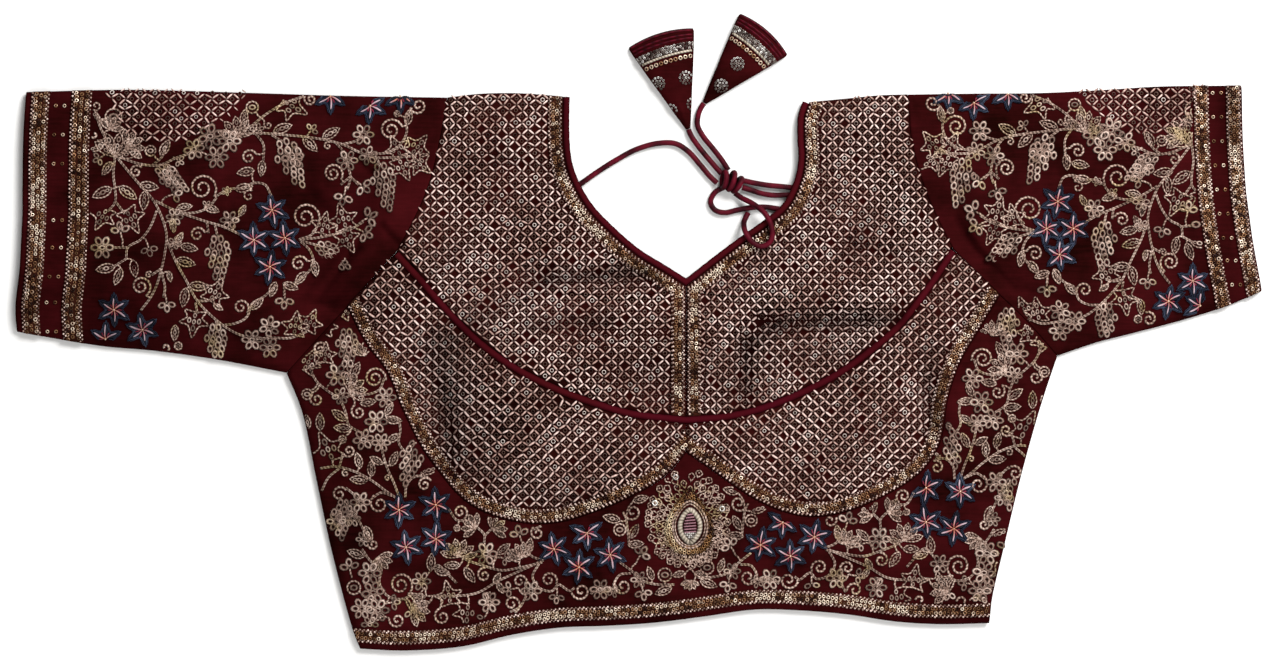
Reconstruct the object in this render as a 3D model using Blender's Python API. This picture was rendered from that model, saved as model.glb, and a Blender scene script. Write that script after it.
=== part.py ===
"""Choli blouse laid flat on its back, in metres, +Z up, +Y towards the shoulders.

The front layer is one smooth height field over the flat layout.  Every cut piece is a grid
of lines between its seams, lifted to that height, with a cloth wall under it.  Trims share
the grid points of the panel that they are sewn to.
"""
import math

import bmesh
import bpy
import numpy as np
from mathutils import Vector
from mathutils.bvhtree import BVHTree

MM = 0.001

# Driving sizes in mm
WALL = 1.6                 # padded, embroidered front cloth
BACK_WALL = 1.5            # back panels and the rear of each sleeve
GAP = 0.3                  # between pieces that touch
EDGE_HEIGHT = 3.5          # top of the front layer where it lies on the back layer
BODY_HEIGHT = 6.5          # top of the front layer away from its sewn edges
EDGE_ROUNDING = 9.0        # how quickly the front rises from a sewn edge
CUP_RISE = 10.5            # how far the padded cups stand above the rest of the front
CUP_ACROSS = 92.0
CUP_ALONG = 84.0
NECK_PIPING = 3.4          # diameter
NECK_PIPING_DROP = 0.9     # its centre below the front's outer side
SEAM_PIPING = 4.0          # width of the channel that it fills
SEAM_PIPING_DROP = 0.6
PIPING_SIDES = 8
BORDER_WIDTH = 8.0         # sequin border
BORDER_THICK = 0.8
BORDER_INSET = 0.9         # silk left showing between a border and its seam
HEM_EDGE = 4.3             # silk below the hem border
FOLD_ROUND = 1.0           # rounding of a sleeve's folded edge
BACK_HIDDEN = 0.6          # how far the back stays inside the front's edges
OUTLINE_STEP = 9.0         # spacing of points round the back
CORD = 3.4                 # diameter of the dori
CORD_POINT_EVERY = 2.0     # diameters
LATKAN_THICK = 8.0
CENTRE_X = 29.2            # centre front

# Height of each cup's crown, on the layout
CUP_CROWNS = [  # x, y
    (-67.0, -2.0),
    (131.0, -4.0),
]

# Soft folds of the front layer: ridges are positive, troughs negative
FOLDS = [  # x0, y0, x1, y1, height, spread
    (-70.0, 59.0, 5.0, 57.0, -1.4, 7.0),
    (-34.0, 24.0, 18.0, 22.0, -1.0, 6.5),
    (66.0, 14.0, 76.0, 28.0, -1.3, 6.5),
    (76.0, 28.0, 138.0, 31.0, -2.0, 6.5),
    (138.0, 31.0, 164.0, 37.0, -1.2, 6.5),
    (80.0, 42.0, 150.0, 45.0, 1.2, 8.0),
    (64.0, 18.0, 65.0, -18.0, -1.5, 6.0),
    (-123.0, -14.0, -118.0, -64.0, -2.2, 7.5),
    (178.0, -8.0, 182.0, -38.0, -2.2, 7.5),
    (-60.0, -58.0, -70.0, -84.0, 1.0, 9.0),
    (104.0, -58.0, 112.0, -80.0, 1.0, 9.0),
    (-152.0, 96.0, -172.0, 62.0, 1.2, 6.5),
    (-166.0, 112.0, -192.0, 66.0, -1.2, 6.5),
    (206.0, 118.0, 214.0, 74.0, 1.1, 6.5),
    (-206.0, 36.0, -262.0, 26.0, 1.0, 7.0),
    (252.0, 34.0, 300.0, 36.0, 1.0, 7.0),
    (-196.0, -40.0, -176.0, -120.0, -1.0, 8.0),
    (236.0, -30.0, 212.0, -120.0, -1.0, 8.0),
    (-120.0, -128.0, -20.0, -118.0, 0.9, 8.0),
    (80.0, -112.0, 180.0, -122.0, 0.9, 8.0),
]

# Outlines and seam lines, each a smooth line through its points: x, y
SHOULDER_LEFT = [(-119.0, 168.3), (-98.0, 170.6), (-72.0, 170.8), (-43.4, 168.5)]
SHOULDER_RIGHT = [(166.8, 170.2), (149.4, 169.6), (129.6, 167.7), (101.7, 165.0)]
NECK_LEFT = [
    (-43.4, 168.5), (-43.6, 154.0), (-43.2, 138.6), (-41.6, 127.0), (-37.2, 115.0), (-29.1, 101.4),
    (-17.0, 88.5), (0.0, 73.8), (15.5, 64.2), (29.2, 55.5),
]
NECK_RIGHT = [
    (101.7, 165.0), (99.0, 157.0), (98.6, 142.0), (99.2, 130.0), (96.6, 116.5), (89.3, 101.8),
    (78.1, 92.1), (63.9, 82.0), (52.1, 73.3), (40.3, 64.2), (29.2, 55.5),
]
ARMHOLE_LEFT_UPPER = [(-119.0, 168.3), (-123.4, 142.9), (-130.8, 113.2), (-142.0, 88.0), (-151.2, 71.6)]
ARMHOLE_LEFT_LOWER = [(-181.2, 38.4), (-199.0, 18.9), (-218.9, -2.8)]
ARMHOLE_RIGHT_UPPER = [(166.8, 170.2), (169.4, 139.8), (177.9, 109.8), (187.5, 88.3), (195.2, 73.6)]
ARMHOLE_RIGHT_LOWER = [(223.8, 45.6), (239.0, 31.0), (259.8, 7.8)]
CUP_SEAM_LEFT = [
    (-151.2, 71.6), (-135.8, 54.9), (-117.2, 33.8), (-98.6, 15.8), (-78.7, 1.6), (-55.2, -10.8),
    (-30.4, -20.5), (-4.0, -28.2), (29.2, -32.0),
]
CUP_SEAM_RIGHT = [
    (195.2, 73.6), (180.4, 51.4), (161.8, 27.6), (143.2, 11.2), (121.5, -4.0), (98.6, -15.8),
    (76.9, -24.5), (54.6, -29.8), (29.2, -32.0),
]
UNDER_BUST_LEFT = [
    (-181.2, 38.4), (-170.0, 16.5), (-156.5, -2.0), (-146.0, -27.0), (-131.0, -55.0), (-106.0, -83.5),
    (-79.0, -94.5), (-53.0, -96.0), (-26.0, -88.5), (-1.0, -77.5), (16.5, -66.5), (29.2, -52.0),
]
UNDER_BUST_RIGHT = [
    (223.8, 45.6), (211.5, 25.0), (199.3, 4.5), (191.8, -17.0), (187.0, -45.0), (176.0, -63.0),
    (155.0, -77.5), (128.0, -89.0), (106.0, -92.0), (88.0, -88.4), (69.0, -79.5), (43.0, -61.5),
    (29.2, -52.0),
]
SIDE_LEFT = [(-218.9, -2.8), (-209.5, -26.0), (-200.3, -69.1), (-191.0, -112.5), (-177.2, -164.0), (-173.2, -174.0)]
SIDE_RIGHT = [(259.8, 7.8), (249.6, -23.0), (237.5, -66.0), (226.3, -112.5), (219.2, -143.5), (217.6, -158.2)]
HEM = [
    (-173.2, -174.0), (-150.0, -175.2), (-123.4, -174.2), (-106.0, -172.0), (-78.7, -165.4), (-49.0, -161.0),
    (-19.2, -159.8), (10.5, -157.8), (40.3, -154.1), (72.0, -149.8), (99.8, -150.3), (129.6, -152.8),
    (159.3, -157.2), (186.0, -158.8), (217.6, -158.2),
]
CUFF_LEFT = [
    (-380.6, 171.8), (-382.0, 141.7), (-382.4, 110.7), (-382.6, 84.0), (-384.2, 62.0), (-386.9, 38.0), (-386.4, 22.8),
]
CUFF_RIGHT = [
    (374.2, 175.8), (374.4, 147.9), (375.4, 127.0), (377.2, 104.0), (380.0, 84.0), (383.6, 64.0), (386.9, 48.0),
]
SLEEVE_TOP_LEFT = [(-380.6, 171.8), (-315.6, 173.2), (-247.4, 171.4), (-182.3, 169.4), (-119.0, 168.3)]
SLEEVE_TOP_RIGHT = [(374.2, 175.8), (323.0, 175.2), (292.0, 173.3), (250.0, 171.2), (208.0, 170.8), (166.8, 170.2)]
UNDERARM_LEFT = [(-386.4, 22.8), (-361.5, 18.3), (-331.7, 13.6), (-301.9, 11.0), (-262.0, 5.4), (-218.9, -2.8)]
UNDERARM_RIGHT = [(386.9, 48.0), (367.7, 39.6), (337.9, 30.1), (308.1, 22.2), (284.0, 16.0), (259.8, 7.8)]

# Deep U of the back neck, hidden behind the front: x from the centre, y
BACK_NECK = [(-76.6, 168.0), (-80.0, 120.0), (-80.0, 60.0), (-73.0, 8.0), (-54.0, -45.0), (-26.0, -76.0), (0.0, -84.0)]

# Lengthways grid of the midriff: x on its upper seam, x on the hem
MIDRIFF_COLUMNS = [
    (-218.9, -173.2), (-181.2, -161.0), (-131.0, -122.0), (29.2, 29.2), (176.0, 172.0), (223.8, 206.0), (259.8, 217.6),
]

# Bands of the cuffs: distances of their edges from the cuff's own edge
CUFF_BANDS_LEFT = (4.0, 15.0, 28.8, 41.2)
CUFF_BANDS_RIGHT = (1.0, 10.0, 21.0, 30.0)

# Teardrop applique: half width at each height above its centre
MOTIF_CENTRE = (CENTRE_X + 2.0, -96.5)
MOTIF_SECTIONS = [  # y, half width, thickness
    (-19.0, 0.3, 1.2), (-17.4, 7.8, 1.4), (-12.5, 13.0, 2.2), (-5.0, 15.0, 2.9), (3.0, 13.6, 3.0),
    (10.5, 9.7, 2.5), (17.0, 4.8, 1.9), (21.5, 1.4, 1.3), (22.6, 0.3, 1.2),
]

MOTIF_RING = [  # share of the half width, share of the thickness
    (-1.0, 0.0), (-0.97, 0.45), (-0.75, 0.8), (-0.4, 0.96), (0.0, 1.0), (0.4, 0.96), (0.75, 0.8),
    (0.97, 0.45), (1.0, 0.0), (0.6, 0.0), (0.0, 0.0), (-0.6, 0.0),
]

# Tied cords: x, y, height of the cord's centre
LOW = 1.8                  # a cord that lies on the surface
DORI_LEFT = [
    (-50.2, 106.4, LOW), (-43.6, 110.4, LOW), (-36.0, 115.0, LOW), (-26.0, 122.0, LOW), (-15.0, 129.0, LOW),
    (-2.0, 136.0, LOW), (12.0, 139.9, LOW), (23.0, 139.6, LOW), (31.0, 134.5, LOW), (38.0, 126.6, LOW),
    (44.0, 119.5, LOW), (48.5, 115.2, LOW),
]
DORI_RIGHT = [
    (64.6, 116.8, LOW), (71.0, 115.4, LOW), (79.0, 114.0, LOW), (87.0, 113.2, LOW), (95.0, 112.4, LOW),
    (101.5, 111.8, LOW), (108.8, 111.6, LOW),
]
TIE_END_LEFT = [
    (30.7, 148.5, LOW), (32.2, 145.0, LOW), (35.0, 140.6, LOW), (39.6, 134.6, LOW), (45.5, 127.6, LOW), (51.3, 121.0, LOW),
]
TIE_END_RIGHT = [
    (40.3, 164.8, LOW), (38.3, 161.6, LOW), (36.8, 157.4, LOW), (36.4, 151.0, LOW), (40.0, 144.0, LOW), (46.0, 136.6, LOW),
    (51.4, 129.6, LOW), (55.5, 123.2, LOW),
]
BOW_LOOP_LONG = [
    (52.0, 112.3, LOW), (47.2, 109.4, LOW), (44.4, 103.6, LOW), (47.0, 98.6, LOW), (53.0, 96.8, LOW),
    (61.0, 98.4, LOW), (70.0, 100.0, LOW), (79.0, 100.2, LOW), (88.0, 99.0, LOW), (95.0, 98.8, LOW),
    (99.6, 102.0, LOW), (98.4, 106.6, LOW), (92.0, 107.8, LOW), (84.0, 107.6, LOW), (76.0, 108.8, LOW),
    (69.6, 110.8, LOW), (64.2, 112.5, LOW),
]
BOW_LOOP_ROUND = [
    (59.7, 108.9, LOW), (64.0, 105.8, 2.9), (68.6, 103.4, 5.4), (72.6, 100.8, 7.2), (76.4, 97.8, 8.8),
    (79.4, 94.0, 9.8), (81.6, 89.0, 10.0), (82.6, 83.0, 9.8), (80.6, 77.8, 9.8), (75.4, 75.6, 9.8),
    (70.4, 78.2, 9.8), (67.0, 82.4, 9.6), (65.2, 87.0, 7.6), (65.2, 91.0, 4.6), (66.6, 94.4, 2.4),
    (67.8, 96.7, LOW),
]
CORDS = {
    "dori_left": DORI_LEFT,
    "dori_right": DORI_RIGHT,
    "tie_end_left": TIE_END_LEFT,
    "tie_end_right": TIE_END_RIGHT,
    "bow_loop_long": BOW_LOOP_LONG,
    "bow_loop_round": BOW_LOOP_ROUND,
}
KNOT_CENTRE = (57.2, 116.4)
KNOT_SECTIONS = [  # height, half length, half width
    (0.4, 4.6, 2.8), (1.6, 6.6, 4.6), (3.6, 7.6, 5.4), (5.6, 6.8, 4.8), (7.2, 4.6, 3.0),
]
KNOT_TURN = math.radians(-24)
KNOT_SIDES = 12

# Stuffed cloth tassels: tip, middle of the wide end, width of the wide end
LATKANS = {
    "latkan_left": ((30.6, 148.9), (13.6, 205.4), 42.0),
    "latkan_right": ((40.6, 165.2), (77.6, 207.8), 39.0),
}
LATKAN_SECTIONS = [  # along the length, share of the width, share of the thickness
    (0.0, 0.07, 0.34), (0.05, 0.12, 0.5), (0.2, 0.27, 0.74), (0.4, 0.46, 0.92), (0.6, 0.66, 1.0),
    (0.78, 0.83, 0.97), (0.9, 0.94, 0.86), (0.97, 1.0, 0.66), (1.0, 0.99, 0.5),
]

LATKAN_BELLY = 0.35        # share of the thickness below the widest line
LATKAN_CROWN = 3.0
LATKAN_SIDES = 16

# Points along each seam
N_NECKLINE = 12
N_CENTRE_FRONT = 4
N_UPPER_ARM = N_NECKLINE + N_CENTRE_FRONT
N_LOWER_ARM = 4
N_UNDER_BUST = 20
UPPER_CUP_LINES = 9
LOWER_CUP_LINES = 6
MIDRIFF_LINES = 7
SLEEVE_LINES = 12

MATERIALS = {  # red, green, blue, roughness, metallic
    "silk": (0.075, 0.009, 0.014, 0.5, 0.0),
    "silk_dark": (0.035, 0.005, 0.008, 0.6, 0.0),
    "lattice_work": (0.20, 0.11, 0.09, 0.55, 0.1),
    "sequin_border": (0.30, 0.17, 0.10, 0.35, 0.6),
    "zari_applique": (0.36, 0.25, 0.17, 0.4, 0.5),
    "cord_silk": (0.13, 0.02, 0.03, 0.55, 0.0),
}


def clear_objects():
    for item in list(bpy.data.objects):
        bpy.data.objects.remove(item, do_unlink=True)


def make_materials():
    made = {}
    for name, (red, green, blue, roughness, metallic) in MATERIALS.items():
        material = bpy.data.materials.new(name)
        material.use_nodes = True
        shader = material.node_tree.nodes["Principled BSDF"]
        shader.inputs["Base Color"].default_value = (red, green, blue, 1.0)
        shader.inputs["Roughness"].default_value = roughness
        shader.inputs["Metallic"].default_value = metallic
        made[name] = material
    return made


# Lines on the layout

def smooth_line(points, step=1.0):
    """Dense line through the points, by centripetal Catmull-Rom spans."""
    knots = np.array(points, float)
    first = 2 * knots[0] - knots[1]
    last = 2 * knots[-1] - knots[-2]
    padded = np.vstack([first, knots, last])
    pieces = []
    for k in range(1, len(padded) - 2):
        p0, p1, p2, p3 = padded[k - 1:k + 3]
        t1 = np.linalg.norm(p1 - p0) ** 0.5
        t2 = t1 + np.linalg.norm(p2 - p1) ** 0.5
        t3 = t2 + np.linalg.norm(p3 - p2) ** 0.5
        count = max(2, int(np.linalg.norm(p2 - p1) / step) + 1)
        t = np.linspace(t1, t2, count, endpoint=False)[:, None]
        a1 = (t1 - t) / t1 * p0 + t / t1 * p1
        a2 = (t2 - t) / (t2 - t1) * p1 + (t - t1) / (t2 - t1) * p2
        a3 = (t3 - t) / (t3 - t2) * p2 + (t - t2) / (t3 - t2) * p3
        b1 = (t2 - t) / t2 * a1 + t / t2 * a2
        b2 = (t3 - t) / (t3 - t1) * a2 + (t - t1) / (t3 - t1) * a3
        pieces.append((t2 - t) / (t2 - t1) * b1 + (t - t1) / (t2 - t1) * b2)
    return np.vstack(pieces + [knots[-1:]])


def lengths_along(line):
    steps = np.linalg.norm(np.diff(line, axis=0), axis=1)
    return np.concatenate([[0.0], np.cumsum(steps)])


def at_fractions(line, fractions):
    """Points at these shares of the line's length."""
    along = lengths_along(line)
    wanted = np.asarray(fractions, float) * along[-1]
    return np.stack([np.interp(wanted, along, line[:, k]) for k in range(line.shape[1])], axis=1)


def spaced(line, count):
    return at_fractions(line, np.linspace(0.0, 1.0, count))


def nearest_on(line, point):
    """The point of the line that is nearest to this one."""
    starts, spans = line[:-1], np.diff(line, axis=0)
    shares = np.clip(np.sum((point - starts) * spans, axis=1) / np.sum(spans ** 2, axis=1), 0.0, 1.0)
    places = starts + shares[:, None] * spans
    return places[np.argmin(np.linalg.norm(places - point, axis=1))]


def rest_of(line, start):
    """The part of the line after its nearest point to start, beginning at start itself."""
    start = np.asarray(start)
    nearest = int(np.argmin(np.linalg.norm(line - start, axis=1)))
    tail = line[nearest + 1:]
    if len(tail) == 0:
        tail = line[-1:]
    return np.vstack([start[None, :], tail])


def inset_loop(loop, distances):
    """Move each edge of a closed loop inwards by its own distance and join the edges again."""
    count = len(loop)
    ahead = np.roll(loop, -1, axis=0)
    area = np.sum(loop[:, 0] * ahead[:, 1] - ahead[:, 0] * loop[:, 1])
    turn = 1.0 if area > 0 else -1.0
    edges = ahead - loop
    edges /= np.linalg.norm(edges, axis=1)[:, None]
    normals = turn * np.stack([-edges[:, 1], edges[:, 0]], axis=1)
    moved = []
    for k in range(count):
        n1, n2 = normals[k - 1], normals[k]
        d1, d2 = distances[k - 1], distances[k]
        cross = n1[0] * n2[1] - n1[1] * n2[0]
        if abs(cross) < 0.02:
            middle = n1 + n2
            shift = middle / (middle @ middle) * (d1 + d2)
        else:
            shift = np.array([d1 * n2[1] - d2 * n1[1], d2 * n1[0] - d1 * n2[0]]) / cross
        moved.append(loop[k] + shift)
    return np.array(moved)


def inset_sides(edge, side_b, far, side_a, distances):
    """Inset a piece with four sides.

    edge and far run the same way, side_a joins their starts and side_b their ends.
    distances are those of edge, side_b, far and side_a, each one number or one for each span.
    """
    parts = [edge[:-1], side_b[:-1], far[::-1][:-1], side_a[::-1][:-1]]
    loop = np.vstack(parts)
    each = np.concatenate([np.broadcast_to(d, len(part)) for part, d in zip(parts, distances)])
    moved = inset_loop(loop, each)
    starts = np.cumsum([0] + [len(part) for part in parts])
    closed = np.vstack([moved, moved[:1]])
    new_edge = closed[starts[0]:starts[1] + 1]
    new_b = closed[starts[1]:starts[2] + 1]
    new_far = closed[starts[2]:starts[3] + 1][::-1]
    new_a = closed[starts[3]:starts[4] + 1][::-1]
    return new_edge, new_b, new_far, new_a


def lines_between(edge, side_b, far, side_a, strips, count):
    """Lines from edge to far: some at set distances from the edge, the rest evenly spaced."""
    lines = [edge]
    for distance in strips:
        inner = inset_sides(edge, side_b, far, side_a, (distance, 0.0, 0.0, 0.0))[0]
        inner[0] = nearest_on(side_a, inner[0])
        inner[-1] = nearest_on(side_b, inner[-1])
        lines.append(inner)
    last = lines[-1]
    rest_a = rest_of(side_a, last[0])
    rest_b = rest_of(side_b, last[-1])
    across = np.linspace(0.0, 1.0, len(edge))[:, None]
    for share in np.linspace(0.0, 1.0, count + 1)[1:]:
        ruled = (1 - share) * last + share * far
        pull_a = at_fractions(rest_a, [share])[0] - ruled[0]
        pull_b = at_fractions(rest_b, [share])[0] - ruled[-1]
        lines.append(ruled + (1 - across) * pull_a + across * pull_b)
    return lines


# Height of the front layer

def distance_to_line(points, line):
    best = np.full(len(points), np.inf)
    for start, end in zip(line[:-1], line[1:]):
        span = end - start
        share = np.clip(((points - start) @ span) / max(span @ span, 1e-9), 0.0, 1.0)
        nearest = start + share[:, None] * span
        best = np.minimum(best, np.linalg.norm(points - nearest, axis=1))
    return best


SEWN_EDGES = [
    smooth_line(points, step=6.0)
    for points in (SLEEVE_TOP_LEFT, SLEEVE_TOP_RIGHT, SHOULDER_LEFT, SHOULDER_RIGHT,
                   UNDERARM_LEFT, UNDERARM_RIGHT, SIDE_LEFT, SIDE_RIGHT, HEM)
]


def front_height(points):
    """Height in mm of the front layer's outer side over points on the layout."""
    points = np.atleast_2d(points)
    away = np.min([distance_to_line(points, line) for line in SEWN_EDGES], axis=0)
    lift = 1.0 - np.exp(-away / EDGE_ROUNDING)
    height = EDGE_HEIGHT + (BODY_HEIGHT - EDGE_HEIGHT) * lift
    for x, y in CUP_CROWNS:
        reach = np.hypot((points[:, 0] - x) / CUP_ACROSS, (points[:, 1] - y) / CUP_ALONG)
        height += CUP_RISE * lift * (0.5 + 0.5 * np.cos(math.pi * np.minimum(reach, 1.0)))
    for x0, y0, x1, y1, rise, spread in FOLDS:
        away_from_fold = distance_to_line(points, np.array([(x0, y0), (x1, y1)]))
        height += rise * lift * np.exp(-(away_from_fold / spread) ** 2)
    return height


# Meshes

def finish_object(name, vertices, faces, material, smooth=True):
    """Make one object from points in mm and faces, with all faces pointing out."""
    mesh = bpy.data.meshes.new(name)
    mesh.from_pydata([tuple(float(c) * MM for c in v) for v in vertices], [], faces)
    work = bmesh.new()
    work.from_mesh(mesh)
    bmesh.ops.recalc_face_normals(work, faces=work.faces)
    work.to_mesh(mesh)
    work.free()
    mesh.materials.append(material)
    if smooth:
        mesh.shade_smooth()
        mesh.set_sharp_from_angle(angle=math.radians(50))
    made = bpy.data.objects.new(name, mesh)
    bpy.context.collection.objects.link(made)
    return made


def two_triangles(a, b, c, d):
    return [(a, b, c), (a, c, d)]


def shell_from_lines(name, lines, lower, upper, material):
    """A closed wall over a grid of layout points; lower and upper give its two heights."""
    rows, columns = len(lines), len(lines[0])
    flat = np.vstack(lines)
    top = np.column_stack([flat, upper(flat)])
    bottom = np.column_stack([flat, lower(flat)])
    vertices = np.vstack([top, bottom])
    below = rows * columns
    faces = []
    for j in range(rows - 1):
        for i in range(columns - 1):
            a = j * columns + i
            over = two_triangles(a, a + 1, a + columns + 1, a + columns)
            faces += over
            faces += [tuple(below + k for k in reversed(face)) for face in over]
    rim = [i for i in range(columns)]
    rim += [j * columns + columns - 1 for j in range(1, rows)]
    rim += [(rows - 1) * columns + i for i in range(columns - 2, -1, -1)]
    rim += [j * columns for j in range(rows - 2, 0, -1)]
    for a, b in zip(rim, rim[1:] + rim[:1]):
        faces += two_triangles(a, b, below + b, below + a)
    return finish_object(name, vertices, faces, material)


def front_panel(name, lines, material):
    return shell_from_lines(name, lines, lambda p: front_height(p) - WALL, front_height, material)


def border_on(name, lines, material):
    """A border on the panel whose grid holds these lines."""
    return shell_from_lines(
        name, lines,
        lambda p: front_height(p) + GAP,
        lambda p: front_height(p) + GAP + BORDER_THICK,
        material)


def ring_mesh(name, rings, material, capped=True):
    """Skin over rings that all have the same number of points."""
    count = len(rings[0])
    vertices = np.vstack(rings)
    faces = []
    for j in range(len(rings) - 1):
        for i in range(count):
            a, b = j * count + i, j * count + (i + 1) % count
            faces += two_triangles(a, b, b + count, a + count)
    if capped:
        faces.append(tuple(range(count)))
        faces.append(tuple((len(rings) - 1) * count + i for i in range(count)))
    return finish_object(name, vertices, faces, material)


def piping(name, path, diameter, centre_drop, material):
    """A round piping along a layout path, its centre a set drop under the front's height."""
    heights = front_height(path) - centre_drop
    steps = np.gradient(path, axis=0)
    before = np.vstack([steps[:1], np.diff(path, axis=0)])
    after = np.vstack([np.diff(path, axis=0), steps[-1:]])
    before /= np.linalg.norm(before, axis=1)[:, None]
    after /= np.linalg.norm(after, axis=1)[:, None]
    rings = []
    for point, height, back, ahead in zip(path, heights, before, after):
        middle = (back + ahead) / np.linalg.norm(back + ahead)
        widen = 1.0 / max(middle @ ahead, 0.4)
        across = np.array([-middle[1], middle[0]]) * widen
        ring = []
        for k in range(PIPING_SIDES):
            angle = 2 * math.pi * k / PIPING_SIDES
            side = across * math.cos(angle) * diameter / 2
            ring.append((point[0] + side[0], point[1] + side[1], height + math.sin(angle) * diameter / 2))
        rings.append(np.array(ring))
    return ring_mesh(name, rings, material)


def slab(name, outline, thickness, material):
    """A flat piece of cloth on the surface."""
    count = len(outline)
    vertices = [(x, y, 0.0) for x, y in outline] + [(x, y, thickness) for x, y in outline]
    faces = [tuple(range(count)), tuple(range(2 * count - 1, count - 1, -1))]
    for k in range(count):
        after = (k + 1) % count
        faces.append((k, after, count + after, count + k))
    return finish_object(name, vertices, faces, material, smooth=False)


# Pieces of the blouse

class Half:
    """One half of the blouse: its seams, sampled once so that neighbours share points."""

    def __init__(self, tag, shoulder, neck, arm_upper, arm_lower, cup_seam, under_bust, side, sleeve_top,
                 underarm, cuff, cuff_bands):
        self.tag = tag
        self.shoulder = smooth_line(shoulder)
        self.neckline = spaced(smooth_line(neck), N_NECKLINE)
        self.arm_upper = spaced(smooth_line(arm_upper), N_UPPER_ARM)
        self.arm_lower = spaced(smooth_line(arm_lower), N_LOWER_ARM)
        self.cup_seam = smooth_line(cup_seam)
        self.under_bust = spaced(smooth_line(under_bust), N_UNDER_BUST)
        self.side = smooth_line(side)
        self.sleeve_top = smooth_line(sleeve_top)
        self.underarm = smooth_line(underarm)
        self.cuff = smooth_line(cuff)
        self.cuff_bands = cuff_bands
        self.armhole = np.vstack([self.arm_upper, self.arm_lower])

    def front_edge(self):
        """The neckline down to its point, then the centre front down to the cup seam."""
        centre_front = spaced(np.array([self.neckline[-1], self.cup_seam[-1]]), N_CENTRE_FRONT + 1)
        return np.vstack([self.neckline, centre_front[1:]])

    def upper_cup_sides(self, neck_room):
        """Sides of the upper cup, with this room left along the neckline."""
        room = np.full(N_UPPER_ARM - 1, GAP / 2)
        room[:N_NECKLINE - 1] = neck_room
        seam_room = SEAM_PIPING / 2 + GAP
        return inset_sides(
            self.front_edge(), self.cup_seam[::-1], self.arm_upper, self.shoulder[::-1],
            (room, seam_room, GAP / 2, 0.0))


LEFT = Half(
    "left", SHOULDER_LEFT, NECK_LEFT, ARMHOLE_LEFT_UPPER, ARMHOLE_LEFT_LOWER, CUP_SEAM_LEFT,
    UNDER_BUST_LEFT, SIDE_LEFT, SLEEVE_TOP_LEFT, UNDERARM_LEFT, CUFF_LEFT, CUFF_BANDS_LEFT)
RIGHT = Half(
    "right", SHOULDER_RIGHT, NECK_RIGHT, ARMHOLE_RIGHT_UPPER, ARMHOLE_RIGHT_LOWER, CUP_SEAM_RIGHT,
    UNDER_BUST_RIGHT, SIDE_RIGHT, SLEEVE_TOP_RIGHT, UNDERARM_RIGHT, CUFF_RIGHT, CUFF_BANDS_RIGHT)
BORDER_STRIP = (BORDER_INSET, BORDER_INSET + BORDER_WIDTH)


def make_upper_cup(half, materials):
    edge, side_b, far, side_a = half.upper_cup_sides(NECK_PIPING + GAP)
    lines = lines_between(edge, side_b, far, side_a, BORDER_STRIP, UPPER_CUP_LINES)
    front_panel(f"upper_cup_{half.tag}", lines, materials["lattice_work"])
    border_on(f"neck_border_{half.tag}", lines[1:3], materials["sequin_border"])


def make_lower_cup(half, materials):
    armhole = np.array([half.under_bust[0], half.cup_seam[0]])
    centre_front = np.array([half.under_bust[-1], half.cup_seam[-1]])
    seam = spaced(half.cup_seam, N_UNDER_BUST)
    edge, side_b, far, side_a = inset_sides(
        half.under_bust, centre_front, seam, armhole,
        (GAP / 2, GAP / 2, SEAM_PIPING / 2 + GAP, GAP / 2))
    lines = lines_between(edge, side_b, far, side_a, BORDER_STRIP, LOWER_CUP_LINES)
    front_panel(f"lower_cup_{half.tag}", lines, materials["lattice_work"])
    border_on(f"cup_border_{half.tag}", lines[1:3], materials["sequin_border"])


def make_midriff(materials):
    """The band under the cups with both side panels, in one piece, and its hem border."""
    top = np.vstack([
        LEFT.arm_lower[::-1], LEFT.under_bust[1:], RIGHT.under_bust[::-1][1:], RIGHT.arm_lower[1:]])
    columns = np.array(MIDRIFF_COLUMNS)
    hem_x = np.interp(top[:, 0], columns[:, 0], columns[:, 1])
    hem_line = smooth_line(HEM)
    hem = np.column_stack([hem_x, np.interp(hem_x, hem_line[:, 0], hem_line[:, 1])])
    edge, side_b, far, side_a = inset_sides(
        hem, RIGHT.side[::-1], top, LEFT.side[::-1], (0.0, 0.0, GAP / 2, 0.0))
    strips = (HEM_EDGE, HEM_EDGE + BORDER_WIDTH)
    lines = lines_between(edge, side_b, far, side_a, strips, MIDRIFF_LINES)
    made = front_panel("midriff", lines, materials["silk"])
    border_on("hem_border", lines[1:3], materials["sequin_border"])
    return made


def make_sleeve(half, materials):
    """A tube folded flat along its top, open at the cuff and the armhole."""
    cuff = at_fractions(half.cuff, lengths_along(half.armhole) / lengths_along(half.armhole)[-1])
    edge, side_b, far, side_a = inset_sides(
        cuff, half.underarm, half.armhole, half.sleeve_top, (0.0, 0.0, GAP / 2, 0.0))
    lines = lines_between(edge, side_b, far, side_a, half.cuff_bands, SLEEVE_LINES)
    outer = [folded_ring(line, 0.0, 0.0, 0.0) for line in lines]
    inner = [folded_ring(line, BACK_WALL, BACK_WALL, WALL) for line in lines]
    tube_wall(f"sleeve_{half.tag}", outer, inner, materials["silk"])
    for place, first in (("outer", 1), ("inner", 3)):
        border_on(f"cuff_border_{half.tag}_{place}", lines[first:first + 2], materials["sequin_border"])


def folded_ring(line, edge_inset, floor, wall):
    """A closed ring round a flattened sleeve, over the front and back under it."""
    front = line.copy()
    heights = front_height(line) - wall
    ends = []
    for end, neighbour in ((0, 1), (-1, -2)):
        inward = (line[neighbour] - line[end]) / np.linalg.norm(line[neighbour] - line[end])
        front[end] = line[end] + inward * (edge_inset + FOLD_ROUND)
        ends.append((*(line[end] + inward * edge_inset), (floor + heights[end]) / 2))
    top = np.column_stack([front, heights])
    bottom = np.column_stack([front[::-1], np.full(len(front), floor)])
    return np.vstack([ends[0], top, ends[1], bottom])


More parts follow.
